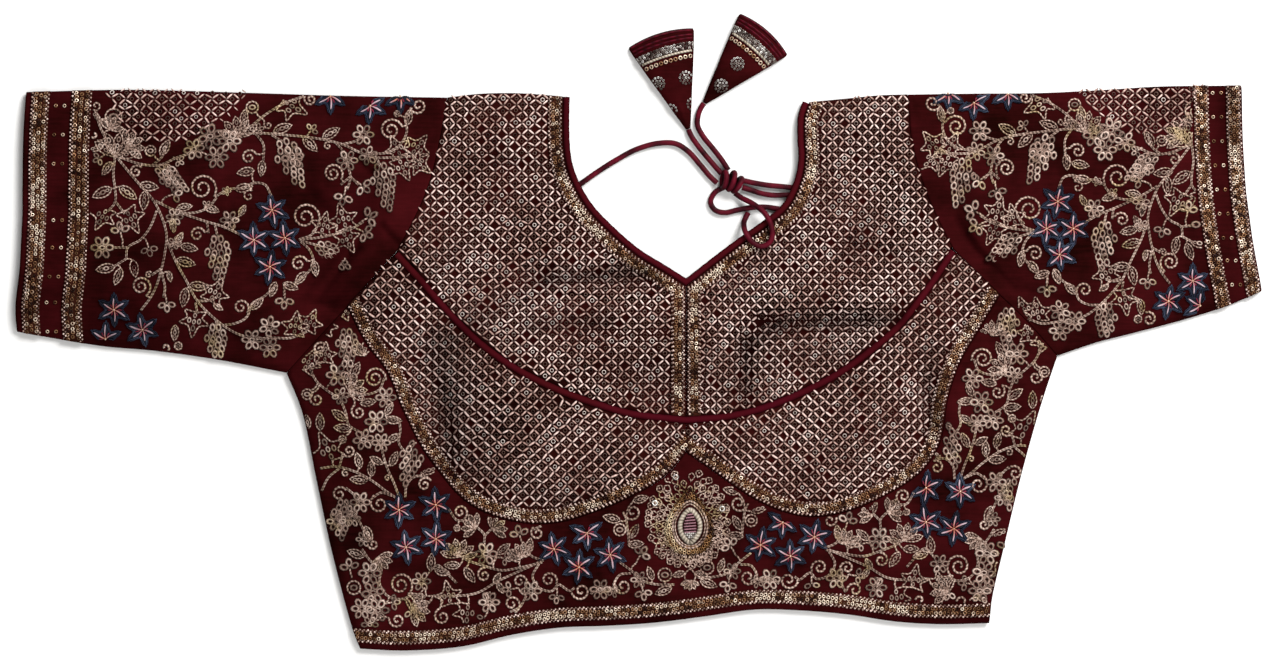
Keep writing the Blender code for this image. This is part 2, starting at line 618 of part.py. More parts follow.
def tube_wall(name, outer, inner, material):
    """A wall between outer and inner rings, closed round its two open ends."""
    count, rows = len(outer[0]), len(outer)
    vertices = np.vstack(outer + inner)
    faces = []
    for i in range(count):
        after = (i + 1) % count
        for j in range(rows - 1):
            a, b = j * count + i, j * count + after
            faces += two_triangles(a, b, b + count, a + count)
            c, d = a + rows * count, b + rows * count
            faces += two_triangles(d, c, c + count, d + count)
        for j in (0, rows - 1):
            a, b = j * count + i, j * count + after
            faces += two_triangles(a, b, b + rows * count, a + rows * count)
    return finish_object(name, vertices, faces, material)


def make_back(half, materials):
    """Half of the back, with its share of the deep U neck."""
    mirror = 1.0 if half.tag == "left" else -1.0
    neck = smooth_line([(CENTRE_X + mirror * x, y) for x, y in BACK_NECK], step=OUTLINE_STEP)
    reach = abs(neck[0, 0] - CENTRE_X)
    shoulder = half.shoulder[np.abs(half.shoulder[:, 0] - CENTRE_X) > reach + BACK_HIDDEN]
    shoulder = shoulder[::int(OUTLINE_STEP)]
    hem = smooth_line(HEM, step=OUTLINE_STEP)
    hem = hem[mirror * (CENTRE_X - hem[:, 0]) > OUTLINE_STEP / 2][::int(mirror)]
    side = half.side[::int(OUTLINE_STEP)]
    centre = np.array([(CENTRE_X, hem[-1, 1])])
    parts = [half.armhole[:-1], side[:-1], hem, centre, neck[::-1], shoulder[::-1][:-1]]
    rooms = [GAP / 2, BACK_HIDDEN, BACK_HIDDEN, GAP / 2, 0.0, BACK_HIDDEN]
    loop = np.vstack(parts)
    each = np.concatenate([np.full(len(part), room) for part, room in zip(parts, rooms)])
    slab(f"back_{half.tag}", inset_loop(loop, each), BACK_WALL, materials["silk_dark"])


def make_neck_piping(materials):
    left = LEFT.upper_cup_sides(NECK_PIPING / 2)[0][:N_NECKLINE]
    right = RIGHT.upper_cup_sides(NECK_PIPING / 2)[0][:N_NECKLINE]
    middle = np.array([[CENTRE_X, (left[-1, 1] + right[-1, 1]) / 2]])
    path = np.vstack([left[:-1], middle, right[:-1][::-1]])
    piping("neck_piping", path, NECK_PIPING, NECK_PIPING_DROP, materials["silk"])


def make_seam_piping(materials):
    """One piping in the curved seam between the upper and lower cups."""
    left = spaced(LEFT.cup_seam, N_UNDER_BUST)
    right = spaced(RIGHT.cup_seam, N_UNDER_BUST)
    path = np.vstack([left, right[::-1][1:]])
    for end, neighbour in ((0, 1), (-1, -2)):
        inward = path[neighbour] - path[end]
        path[end] += inward / np.linalg.norm(inward) * SEAM_PIPING / 2
    piping("cup_seam_piping", path, SEAM_PIPING - GAP, SEAM_PIPING_DROP, materials["silk"])


def make_centre_motif(midriff, materials):
    """A stuffed teardrop sewn on the midriff, its underside following the cloth."""
    shape = midriff.data
    tree = BVHTree.FromPolygons(
        [v.co for v in shape.vertices], [tuple(p.vertices) for p in shape.polygons])
    rings = []
    for y, half_width, thick in MOTIF_SECTIONS:
        ring = []
        for share, level in MOTIF_RING:
            x = MOTIF_CENTRE[0] + share * half_width
            place = Vector((x * MM, (MOTIF_CENTRE[1] + y) * MM, 0.1))
            under = tree.ray_cast(place, Vector((0.0, 0.0, -1.0)))[0].z / MM
            ring.append((x, MOTIF_CENTRE[1] + y, under + GAP + 0.1 + level * thick))
        rings.append(np.array(ring))
    ring_mesh("centre_motif", rings, materials["zari_applique"])


def make_cord(name, route, materials):
    """A round cord along a smooth curve through its route."""
    line = smooth_line(route, step=0.5)
    count = int(round(lengths_along(line)[-1] / (CORD_POINT_EVERY * CORD))) + 1
    curve = bpy.data.curves.new(name, "CURVE")
    curve.dimensions = "3D"
    curve.bevel_depth = CORD / 2 * MM
    curve.bevel_resolution = 2
    curve.use_fill_caps = True
    spline = curve.splines.new("POLY")
    spline.points.add(count - 1)
    for point, place in zip(spline.points, spaced(line, count)):
        point.co = (*(float(c) * MM for c in place), 1.0)
    curve.materials.append(materials["cord_silk"])
    made = bpy.data.objects.new(name, curve)
    bpy.context.collection.objects.link(made)


def make_knot(materials):
    rings = []
    for height, half_length, half_width in KNOT_SECTIONS:
        ring = []
        for k in range(KNOT_SIDES):
            angle = 2 * math.pi * k / KNOT_SIDES
            along, across = half_length * math.cos(angle), half_width * math.sin(angle)
            x = along * math.cos(KNOT_TURN) - across * math.sin(KNOT_TURN)
            y = along * math.sin(KNOT_TURN) + across * math.cos(KNOT_TURN)
            ring.append((KNOT_CENTRE[0] + x, KNOT_CENTRE[1] + y, height))
        rings.append(np.array(ring))
    ring_mesh("dori_knot", rings, materials["cord_silk"])


def make_latkan(name, tip, end, width, materials):
    """A stuffed triangle of cloth that lies on the surface, its wide end slightly crowned."""
    tip, end = np.array(tip), np.array(end)
    length = np.linalg.norm(end - tip)
    ahead = (end - tip) / length
    across = np.array([-ahead[1], ahead[0]])
    rings = []
    for share, width_share, thick_share in LATKAN_SECTIONS:
        ring = []
        thick = LATKAN_THICK * thick_share
        for k in range(LATKAN_SIDES):
            angle = 2 * math.pi * k / LATKAN_SIDES
            side = math.cos(angle)
            crown = LATKAN_CROWN * share ** 4 * (1 - side ** 2)
            place = tip + ahead * (length * share + crown) + across * side * width * width_share / 2
            belly = LATKAN_BELLY if math.sin(angle) < 0 else 1 - LATKAN_BELLY
            ring.append((*place, thick * (LATKAN_BELLY + belly * math.sin(angle))))
        rings.append(np.array(ring))
    ring_mesh(name, rings, materials["silk"])


def main():
    clear_objects()
    materials = make_materials()
    for half in (LEFT, RIGHT):
        make_upper_cup(half, materials)
        make_lower_cup(half, materials)
        make_sleeve(half, materials)
        make_back(half, materials)
    midriff = make_midriff(materials)
    make_neck_piping(materials)
    make_seam_piping(materials)
    make_centre_motif(midriff, materials)
    for name, route in CORDS.items():
        make_cord(name, route, materials)
    make_knot(materials)
    for name, (tip, end, width) in LATKANS.items():
        make_latkan(name, tip, end, width, materials)


main()
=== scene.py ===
"""Dresses the choli blouse: cloth, lattice work, vines, sequin borders, ties and tassels.

Sizes in the tables are in mm on the layout, X to the wearer's left and Y towards the shoulders.
"""
import math

import bmesh
import bpy
import numpy as np
from mathutils import Matrix, Vector
from mathutils.geometry import delaunay_2d_cdt


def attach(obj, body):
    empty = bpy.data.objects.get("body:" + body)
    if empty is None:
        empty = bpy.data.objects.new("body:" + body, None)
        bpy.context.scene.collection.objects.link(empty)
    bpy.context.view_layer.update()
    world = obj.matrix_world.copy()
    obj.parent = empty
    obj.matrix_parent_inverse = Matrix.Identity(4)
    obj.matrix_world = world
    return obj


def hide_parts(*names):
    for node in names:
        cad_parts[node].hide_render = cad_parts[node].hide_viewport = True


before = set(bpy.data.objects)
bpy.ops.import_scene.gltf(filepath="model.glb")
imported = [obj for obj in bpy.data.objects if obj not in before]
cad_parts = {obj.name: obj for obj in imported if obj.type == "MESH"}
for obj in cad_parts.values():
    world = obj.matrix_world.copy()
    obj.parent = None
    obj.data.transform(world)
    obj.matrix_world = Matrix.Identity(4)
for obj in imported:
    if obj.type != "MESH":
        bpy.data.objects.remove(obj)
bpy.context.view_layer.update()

bl_info = {
    "name": "Choli Blouse",
    "version": (1, 0, 0),
    "blender": (4, 5, 0),
    "location": "View3D > Sidebar > Choli",
    "description": "Cloth, embroidery and trims of a choli blouse laid flat",
    "category": "Object",
}

MM = 0.001

# Sizes shared with the solids, in mm
WALL = 1.6                 # padded, embroidered front cloth
BACK_WALL = 1.5            # back panels and the rear of each sleeve
GAP = 0.3                  # between neighbours
EDGE_HEIGHT = 3.5          # of the front's outer side at the sewn edges
BODY_HEIGHT = 6.5          # and away from them
EDGE_ROUNDING = 9.0        # how far in from an edge most of that rise is done
CUP_RISE = 10.5
CUP_ACROSS = 92.0
CUP_ALONG = 84.0
NECK_PIPING = 3.4          # diameter
NECK_PIPING_DROP = 0.9     # its centre below the front's outer side
SEAM_PIPING = 4.0          # width of the channel that it fills
SEAM_PIPING_DROP = 0.6
BORDER_WIDTH = 8.0
BORDER_INSET = 0.9
BORDER_STRIP = (BORDER_INSET, BORDER_INSET + BORDER_WIDTH)
HEM_EDGE = 4.3             # plain silk below the hem's border
FOLD_ROUND = 1.0           # a sleeve's folded edge
BACK_HIDDEN = 0.6          # the back's edge, inside the front's
CORD = 3.4
CENTRE_X = 29.2

CUP_CROWNS = [(-67, -2), (131, -4)]  # x, y

# Soft folds of the front layer: ridges are positive, troughs negative
FOLDS = [  # x0, y0, x1, y1, height, spread
    (-70, 59, 5, 57, -1.4, 7), (-34, 24, 18, 22, -1, 6.5), (66, 14, 76, 28, -1.3, 6.5),
    (76, 28, 138, 31, -2, 6.5), (138, 31, 164, 37, -1.2, 6.5), (80, 42, 150, 45, 1.2, 8),
    (64, 18, 65, -18, -1.5, 6), (-123, -14, -118, -64, -2.2, 7.5), (178, -8, 182, -38, -2.2, 7.5),
    (-60, -58, -70, -84, 1, 9), (104, -58, 112, -80, 1, 9), (-152, 96, -172, 62, 1.2, 6.5),
    (-166, 112, -192, 66, -1.2, 6.5), (206, 118, 214, 74, 1.1, 6.5), (-206, 36, -262, 26, 1, 7),
    (252, 34, 300, 36, 1, 7), (-196, -40, -176, -120, -1, 8), (236, -30, 212, -120, -1, 8),
    (-120, -128, -20, -118, 0.9, 8), (80, -112, 180, -122, 0.9, 8),
]

FOLD_DEEPER, CREASE_DEEPER = 2.3, 2.4      # against the rise given in each table

# Fine creases of the cloth, placed one by one
CREASES = [  # x0, y0, x1, y1, height, spread
    (-159.3, 89.6, -147.6, 76.6, -1.1, 2.2), (-163.5, 93, -151, 81, 0.6, 3),
    (-174.2, 74.7, -165.5, 56.1, -1.2, 2.2), (-180, 78, -171, 54, 0.6, 3.2),
    (-210, 46.8, -189.1, 38.8, -1.1, 2.4), (-189.1, 38.8, -181.7, 37.5, -0.9, 2.6),
    (-205.2, 113.2, -191.6, 94.6, -0.6, 4), (-196.5, 66, -192.8, 56, -0.8, 3.4),
    (-176, 132, -166, 122, -0.8, 2.6), (-204, 30, -246, 22, 0.6, 3.2), (-282, 62, -332, 52, 0.5, 5),
    (-296, 24, -340, 30, -0.5, 4), (198, 92, 214, 66, -0.8, 2.8), (206, 84, 226, 52, 0.6, 3),
    (232, 52, 268, 42, -0.7, 3.4), (274, 78, 300, 60, -0.7, 4), (284, 72, 306, 52, 0.5, 4),
    (-144, 46, -100, 84, -0.5, 5), (-48, 122, -92, 132, -0.5, 5), (132, 78, 178, 66, -0.6, 4.5),
    (-150, -52, -184, -66, 0.5, 3.6), (-158, -122, -112, -126, -0.5, 4), (-90, -100, -70, -138, -0.6, 4),
    (-6, -84, 2, -120, -0.6, 4), (62, -80, 58, -122, -0.6, 4), (150, -84, 144, -128, -0.6, 4),
    (196, -50, 224, -60, 0.5, 3.6), (206, -116, 170, -124, -0.5, 4),
]

# Where the cloth falls away from the light: soft lines and how dark each one is
SHADED = [  # x0, y0, x1, y1, darkness, spread
    (-58.3, 54.9, 2, 59.8, 0.65, 5), (-104.8, 28.8, -58.3, 53, 0.25, 7), (-67.6, 27, -18, 30, 0.5, 5.5),
    (4, -2, 50, -7, 0.28, 16), (65.7, -19.5, 67, 14.6, 0.45, 4.5), (67, 14.6, 87.4, 27, 0.55, 4.5),
    (87.4, 27, 161.8, 31.3, 0.7, 5), (81, 5.3, 143, 11.5, 0.26, 12), (-123.4, 17.7, -114, -50.5, 0.5, 10),
    (180.4, 11.5, 186.6, -32, 0.3, 8), (143, 95, 131, 70, 0.25, 7), (-104, -62, -40, -84, 0.32, 10),
    (-200, -20, -178, -120, 0.25, 12), (-240, 20, -330, 22, 0.25, 10), (-114, 10, -98, -38, 0.35, 16),
    (-376, 42, -310, 34, 0.35, 18), (368, 168, 366, 142, 0.5, 9), (-48, 170, -46, 124, 0.35, 6),
    (-130, 8, -96, 34, 0.2, 10),
]

# Outlines and seam lines of each half, each a smooth line through its points: x, y
SEAMS = {
    "left": {
        "shoulder": [(-119, 168.3), (-98, 170.6), (-72, 170.8), (-43.4, 168.5)],
        "neckline": [
            (-43.4, 168.5), (-43.6, 154), (-43.2, 138.6), (-41.6, 127), (-37.2, 115), (-29.1, 101.4),
            (-17, 88.5), (0, 73.8), (15.5, 64.2), (29.2, 55.5),
        ],
        "arm_upper": [(-119, 168.3), (-123.4, 142.9), (-130.8, 113.2), (-142, 88), (-151.2, 71.6)],
        "arm_lower": [(-181.2, 38.4), (-199, 18.9), (-218.9, -2.8)],
        "cup_seam": [
            (-151.2, 71.6), (-135.8, 54.9), (-117.2, 33.8), (-98.6, 15.8), (-78.7, 1.6), (-55.2, -10.8),
            (-30.4, -20.5), (-4, -28.2), (29.2, -32),
        ],
        "under_bust": [
            (-181.2, 38.4), (-170, 16.5), (-156.5, -2), (-146, -27), (-131, -55), (-106, -83.5), (-79, -94.5),
            (-53, -96), (-26, -88.5), (-1, -77.5), (16.5, -66.5), (29.2, -52),
        ],
        "side": [
            (-218.9, -2.8), (-209.5, -26), (-200.3, -69.1), (-191, -112.5), (-177.2, -164), (-173.2, -174),
        ],
        "cuff": [
            (-380.6, 171.8), (-382, 141.7), (-382.4, 110.7), (-382.6, 84), (-384.2, 62), (-386.9, 38),
            (-386.4, 22.8),
        ],
        "sleeve_top": [(-380.6, 171.8), (-315.6, 173.2), (-247.4, 171.4), (-182.3, 169.4), (-119, 168.3)],
        "underarm": [
            (-386.4, 22.8), (-361.5, 18.3), (-331.7, 13.6), (-301.9, 11), (-262, 5.4), (-218.9, -2.8),
        ],
    },
    "right": {
        "shoulder": [(166.8, 170.2), (149.4, 169.6), (129.6, 167.7), (101.7, 165)],
        "neckline": [
            (101.7, 165), (99, 157), (98.6, 142), (99.2, 130), (96.6, 116.5), (89.3, 101.8), (78.1, 92.1),
            (63.9, 82), (52.1, 73.3), (40.3, 64.2), (29.2, 55.5),
        ],
        "arm_upper": [(166.8, 170.2), (169.4, 139.8), (177.9, 109.8), (187.5, 88.3), (195.2, 73.6)],
        "arm_lower": [(223.8, 45.6), (239, 31), (259.8, 7.8)],
        "cup_seam": [
            (195.2, 73.6), (180.4, 51.4), (161.8, 27.6), (143.2, 11.2), (121.5, -4), (98.6, -15.8),
            (76.9, -24.5), (54.6, -29.8), (29.2, -32),
        ],
        "under_bust": [
            (223.8, 45.6), (211.5, 25), (199.3, 4.5), (191.8, -17), (187, -45), (176, -63), (155, -77.5),
            (128, -89), (106, -92), (88, -88.4), (69, -79.5), (43, -61.5), (29.2, -52),
        ],
        "side": [(259.8, 7.8), (249.6, -23), (237.5, -66), (226.3, -112.5), (219.2, -143.5), (217.6, -158.2)],
        "cuff": [
            (374.2, 175.8), (374.4, 147.9), (375.4, 127), (377.2, 104), (380, 84), (383.6, 64), (386.9, 48),
        ],
        "sleeve_top": [
            (374.2, 175.8), (323, 175.2), (292, 173.3), (250, 171.2), (208, 170.8), (166.8, 170.2),
        ],
        "underarm": [(386.9, 48), (367.7, 39.6), (337.9, 30.1), (308.1, 22.2), (284, 16), (259.8, 7.8)],
    },
}
HEM = [
    (-173.2, -174), (-150, -175.2), (-123.4, -174.2), (-106, -172), (-78.7, -165.4), (-49, -161),
    (-19.2, -159.8), (10.5, -157.8), (40.3, -154.1), (72, -149.8), (99.8, -150.3), (129.6, -152.8),
    (159.3, -157.2), (186, -158.8), (217.6, -158.2),
]
BACK_NECK = [(-76.6, 168), (-80, 120), (-80, 60), (-73, 8), (-54, -45), (-26, -76), (0, -84)]
MIDRIFF_COLUMNS = [  # x on its upper seam, x on the hem
    (-218.9, -173.2), (-181.2, -161), (-131, -122), (29.2, 29.2), (176, 172), (223.8, 206), (259.8, 217.6),
]

MOTIF_CENTRE = (CENTRE_X + 2.0, -96.5)
MOTIF_SECTIONS = [  # y, half width, thickness
    (-19, 0.3, 1.2), (-17.4, 7.8, 1.4), (-12.5, 13, 2.2), (-5, 15, 2.9), (3, 13.6, 3), (10.5, 9.7, 2.5),
    (17, 4.8, 1.9), (21.5, 1.4, 1.3), (22.6, 0.3, 1.2),
]
MOTIF_PROFILE = [(0, 1), (0.4, 0.96), (0.75, 0.8), (0.97, 0.45), (1, 0)]  # share across, share up

LOW = 1.8      # height of a cord's centre where it lies on the surface

# Tied cords: x and y, and the height of the cord's centre where it isn't LOW
ROUTES = {
    "dori_left": [
        (-50.2, 106.4), (-43.6, 110.4), (-36, 115), (-26, 122), (-15, 129), (-2, 136), (12, 139.9),
        (23, 139.6), (31, 134.5), (38, 126.6), (44, 119.5), (48.5, 115.2),
    ],
    "dori_right": [
        (64.6, 116.8), (71, 115.4), (79, 114), (87, 113.2), (95, 112.4), (101.5, 111.8), (108.8, 111.6),
    ],
    "tie_end_left": [(30.7, 148.5), (32.2, 145), (35, 140.6), (39.6, 134.6), (45.5, 127.6), (51.3, 121)],
    "tie_end_right": [
        (40.3, 164.8), (38.3, 161.6), (36.8, 157.4), (36.4, 151), (40, 144), (46, 136.6), (51.4, 129.6),
        (55.5, 123.2),
    ],
    "bow_loop_long": [
        (52, 112.3), (47.2, 109.4), (44.4, 103.6), (47, 98.6), (53, 96.8), (61, 98.4), (70, 100), (79, 100.2),
        (88, 99), (95, 98.8), (99.6, 102), (98.4, 106.6), (92, 107.8), (84, 107.6), (76, 108.8),
        (69.6, 110.8), (64.2, 112.5),
    ],
    "bow_loop_round": [
        (59.7, 108.9), (64, 105.8, 2.9), (68.6, 103.4, 5.4), (72.6, 100.8, 7.2), (76.4, 97.8, 8.8),
        (79.4, 94, 9.8), (81.6, 89, 10), (82.6, 83, 9.8), (80.6, 77.8, 9.8), (75.4, 75.6, 9.8),
        (70.4, 78.2, 9.8), (67, 82.4, 9.6), (65.2, 87, 7.6), (65.2, 91, 4.6), (66.6, 94.4, 2.4), (67.8, 96.7),
    ],
}
KNOT_CENTRE = (57.2, 116.4)
KNOT_TURN = -24.0         # degrees
LATKAN_THICK = 8.0
LATKANS = {  # tip, middle of the wide end, width of the wide end
    "latkan_left": ((30.6, 148.9), (13.6, 205.4), 42.0),
    "latkan_right": ((40.6, 165.2), (77.6, 207.8), 39.0),
}
LATKAN_SECTIONS = [  # along the length, share of the width, share of the thickness
    (0, 0.07, 0.34), (0.05, 0.12, 0.5), (0.2, 0.27, 0.74), (0.4, 0.46, 0.92), (0.6, 0.66, 1),
    (0.78, 0.83, 0.97), (0.9, 0.94, 0.86), (0.97, 1, 0.66), (1, 0.99, 0.5),
]
LATKAN_BELLY = 0.35        # share of the thickness that lies below the edge
LATKAN_CROWN = 3.0         # how far the wide end bows out

# Points along each seam, and lines across each cloth
N_NECKLINE, N_CENTRE_FRONT, N_UNDER_BUST = 48, 12, 72
SEAM_POINTS = {
    "neckline": N_NECKLINE, "arm_upper": N_NECKLINE + N_CENTRE_FRONT, "arm_lower": 16,
    "under_bust": N_UNDER_BUST,
}
UPPER_CUP_LINES, LOWER_CUP_LINES, MIDRIFF_LINES, SLEEVE_LINES = 48, 30, 40, 66
CUFF_BANDS = {  # edges of the cuff's two borders
    "left": (4.0, 15.0, 28.8, 41.2), "right": (1.0, 10.0, 21.0, 30.0),
}

# Embroidery of the left half; the right half mirrors it
SLEEVE_STEMS = [  # points of one stem
    [(-322, 131), (-310, 127), (-298, 126), (-286, 131), (-276, 134)],
    [(-323, 130), (-314, 119), (-306, 110), (-301, 104), (-296, 94), (-293, 83), (-294, 72), (-296, 62),
     (-299, 52), (-303, 44), (-309, 36)],
    [(-299, 98), (-303, 88), (-309, 80), (-317, 75), (-318, 68)], [(-317, 75), (-327, 75)],
    [(-318, 68), (-326, 63)],
    [(-293, 80), (-288, 68), (-281, 55), (-274, 42), (-262, 30), (-250, 22), (-241, 19)],
    [(-325, 131), (-326, 120), (-325, 112), (-325, 103), (-330, 97)], [(-325, 104), (-319, 96)],
    [(-300, 104), (-290, 99), (-280, 95), (-268, 91), (-258, 88), (-247, 83)],
    [(-284, 96), (-274, 97), (-267, 100), (-262, 106)],
    [(-262, 107), (-255, 111), (-246, 112), (-239, 115), (-232, 114), (-228, 107)], [(-263, 89), (-261, 80)],
    [(-268, 91), (-267, 84)],
    [(-249, 145), (-236, 146), (-222, 145), (-210, 144), (-196, 142), (-184, 139), (-173, 134), (-164, 131),
     (-150, 131), (-138, 132)],
    [(-238, 146), (-233, 139), (-233, 129)], [(-228, 145), (-220, 140)],
    [(-242, 149), (-231, 158), (-219, 165), (-208, 169)], [(-184, 139), (-176, 141), (-171, 144)],
    [(-188, 140), (-183, 134), (-180, 124), (-179, 118), (-181, 111)], [(-179, 119), (-174, 114)],
    [(-179, 119), (-185, 114)],
    [(-166, 133), (-156, 134), (-148, 139), (-144, 147), (-145, 156), (-141, 162)],
    [(-163, 131), (-160, 125)], [(-211, 80), (-200, 81), (-190, 83), (-180, 86), (-171, 91)],
    [(-211, 80), (-203, 83), (-198, 91)], [(-209, 79), (-198, 76)],
    [(-210, 79), (-204, 73), (-202, 65), (-208, 57), (-214, 53)],
    [(-225, 52), (-232, 45), (-240, 40), (-243, 32), (-250, 28), (-257, 27)], [(-220, 53), (-220, 45)],
    [(-274, 42), (-268, 42), (-262, 44)], [(-275, 41), (-274, 34)], [(-262, 30), (-262, 24)],
    [(-296, 62), (-302, 58)], [(-296, 60), (-294, 50), (-295, 44)],
    [(-240, 18), (-228, 19), (-216, 19), (-206, 23)], [(-325, 132), (-331, 143), (-335, 152), (-337, 160)],
    [(-302, 126), (-296, 131), (-293, 138)],
]
SLEEVE_SPRIGS = [  # kind, x, y, direction of its tip, size
    ("fan", -325, 131, 78, 15), ("fan", -318, 137, 30, 11), ("button", -326, 156, 0, 11),
    ("fan", -328, 148, 70, 8), ("curl", -338, 145, -60, 4.2), ("curl", -337, 163, 200, 3.4),
    ("leaf", -337, 156, 120, 8), ("leaf", -337, 137, 200, 9), ("trefoil", -331, 133, 215, 8),
    ("leaf", -330, 124, 235, 9), ("leaf", -333, 109, 205, 12), ("leaf", -317, 109, -35, 12),
    ("maple", -330, 99, -120, 13), ("maple", -318, 98, -62, 14), ("leaf", -304, 113, -8, 11),
    ("leaf", -307, 104, -95, 11), ("curl", -312, 122, 40, 4), ("button", -303, 135, 0, 7),
    ("leaf", -294, 137, 60, 10), ("grape", -298, 125, -40, 21), ("flower", -290, 118, 0, 10),
    ("trefoil", -289, 131, -30, 7), ("flower", -276, 136, 10, 11), ("flower", -262, 131, 0, 12),
    ("flower", -266, 144, 20, 13), ("flower", -254, 141, 0, 12), ("trefoil", -294, 106, 20, 10),
    ("leaf", -282, 100, 10, 9), ("flower", -288, 94, 0, 9), ("leaf", -289, 88, -80, 7),
    ("curl", -271, 112, -35, 8.6), ("leaf", -265, 99, -20, 9), ("trefoil", -270, 98, 60, 6),
    ("flower", -256, 110, 0, 5), ("leaf", -245, 112, 10, 10), ("curl", -242, 107, 60, 3.6),
    ("grape", -261, 82, -88, 27), ("flower", -254, 92, 0, 10), ("leaf", -246, 98, 60, 7),
    ("curl", -274, 83, 20, 4.6), ("leaf", -285, 81, 60, 7), ("flower", -288, 78, 0, 7),
    ("leaf", -279, 75, -12, 10), ("leaf", -281, 66, -15, 11), ("trefoil", -320, 79, 105, 11),
    ("trefoil", -306, 80, -70, 10), ("flower", -333, 75, 0, 12), ("leaf", -331, 62, 190, 11),
    ("leaf", -323, 57, -110, 10), ("leaf", -313, 62, -80, 10), ("curl", -309, 51, -60, 6.2),
    ("curl", -304, 58, 40, 2.2), ("trefoil", -294, 46, -80, 10), ("leaf", -291, 57, -80, 6),
    ("leaf", -273, 51, -5, 11), ("leaf", -282, 44, -100, 11), ("maple", -266, 42, 60, 14),
    ("leaf", -261, 38, -30, 6), ("maple", -275, 35, -100, 14), ("leaf", -288, 22, -95, 9),
    ("curl", -294, 13, 60, 4.4), ("button", -286, 14, 0, 5), ("grape", -262, 27, -90, 23),
    ("curl", -247, 38, -40, 5), ("leaf", -237, 40, 40, 9), ("leaf", -227, 49, -110, 9),
    ("leaf", -216, 51, -20, 9), ("trefoil", -220, 49, -88, 11), ("flower", -240, 18, 0, 11),
    ("flower", -229, 26, 20, 11), ("flower", -229, 13, 0, 11), ("maple", -214, 21, 80, 13),
    ("fan", -248, 143, 100, 13), ("trefoil", -240, 147, 20, 7), ("button", -240, 162, 0, 8),
    ("leaf", -245, 156, 80, 9), ("curl", -242, 131, 30, 4.6), ("leaf", -234, 124, -95, 9),
    ("leaf", -244, 122, 190, 10), ("grape", -221, 142, -68, 29), ("flower", -215, 131, 10, 12),
    ("leaf", -221, 149, 20, 11), ("trefoil", -206, 144, 55, 8), ("leaf", -204, 139, -45, 11),
    ("leaf", -191, 146, 30, 11), ("curl", -193, 138, 60, 2.6), ("flower", -171, 145, 0, 11),
    ("flower", -168, 132, 15, 10), ("flower", -181, 129, 0, 11), ("curl", -190, 121, -30, 6),
    ("trefoil", -182, 113, -100, 11), ("trefoil", -177, 117, -35, 11), ("grape", -160, 127, -80, 27),
    ("curl", -154, 148, 20, 6.8), ("button", -150, 158, 0, 4), ("leaf", -143, 156, 80, 9),
    ("curl", -137, 163, 200, 5), ("maple", -148, 132, 115, 12), ("maple", -141, 133, 50, 13),
    ("maple", -149, 130, -65, 13), ("maple", -140, 130, -40, 12), ("maple", -221, 166, -30, 15),
    ("curl", -204, 167, 150, 3.8), ("curl", -230, 151, 150, 2.6), ("curl", -207, 94, -10, 8.4),
    ("maple", -197, 84, 75, 12), ("maple", -182, 87, 105, 14), ("maple", -184, 85, -62, 13),
    ("trefoil", -174, 90, 30, 12), ("trefoil", -176, 87, -25, 11), ("grape", -199, 77, -38, 22),
    ("curl", -211, 65, 20, 5), ("leaf", -201, 62, -80, 9), ("leaf", -210, 56, -130, 9),
    ("maple", -206, 24, 65, 12),
]
BODICE_STEMS = [
    [(-205, 2), (-200, -8), (-193, -14), (-186, -19), (-182, -27), (-180, -35), (-172, -40)],
    [(-182, -18), (-176, -16), (-168, -16), (-161, -13), (-158, -6)],
    [(-198, -62), (-188, -61), (-176, -64), (-165, -70), (-157, -76), (-151, -80)],
    [(-197, -76), (-193, -68), (-186, -62)], [(-186, -61), (-184, -54)],
    [(-160, -42), (-159, -52), (-156, -62), (-152, -71), (-149, -79)],
    [(-157, -30), (-150, -31), (-148, -38), (-149, -46), (-145, -52)],
    [(-145, -80), (-144, -72), (-139, -67), (-132, -67)], [(-153, -79), (-160, -77), (-166, -81)],
    [(-182, -74), (-176, -79), (-173, -83)], [(-179, -86), (-174, -94), (-170, -102)],
    [(-172, -112), (-166, -120), (-160, -123), (-161, -133), (-156, -141), (-147, -143), (-140, -140)],
    [(-130, -126), (-125, -122), (-118, -128), (-113, -133)], [(-118, -87), (-113, -94), (-107, -94)],
    [(-60, -120), (-72, -123), (-85, -125), (-97, -122), (-108, -118), (-119, -109)],
    [(-62, -120), (-75, -126), (-88, -132), (-100, -139), (-112, -141), (-128, -141)],
    [(-62, -121), (-66, -129), (-62, -136), (-54, -138), (-50, -134), (-43, -138), (-40, -136)],
    [(-59, -119), (-67, -116), (-71, -109)], [(-52, -98), (-58, -97), (-66, -100)],
    [(-96, -108), (-96, -103), (-101, -98)], [(-96, -104), (-91, -99)],
    [(-70, -141), (-74, -148), (-80, -151)], [(-97, -140), (-92, -139)],
    [(-30, -140), (-26, -137), (-18, -137), (-13, -136)],
    [(-12, -120), (-4, -126), (3, -132), (12, -134), (22, -134)], [(-5, -127), (-12, -128), (-16, -134)],
    [(-6, -110), (-7, -101), (-8, -93)], [(-163, -140), (-166, -146), (-160, -154)],
]
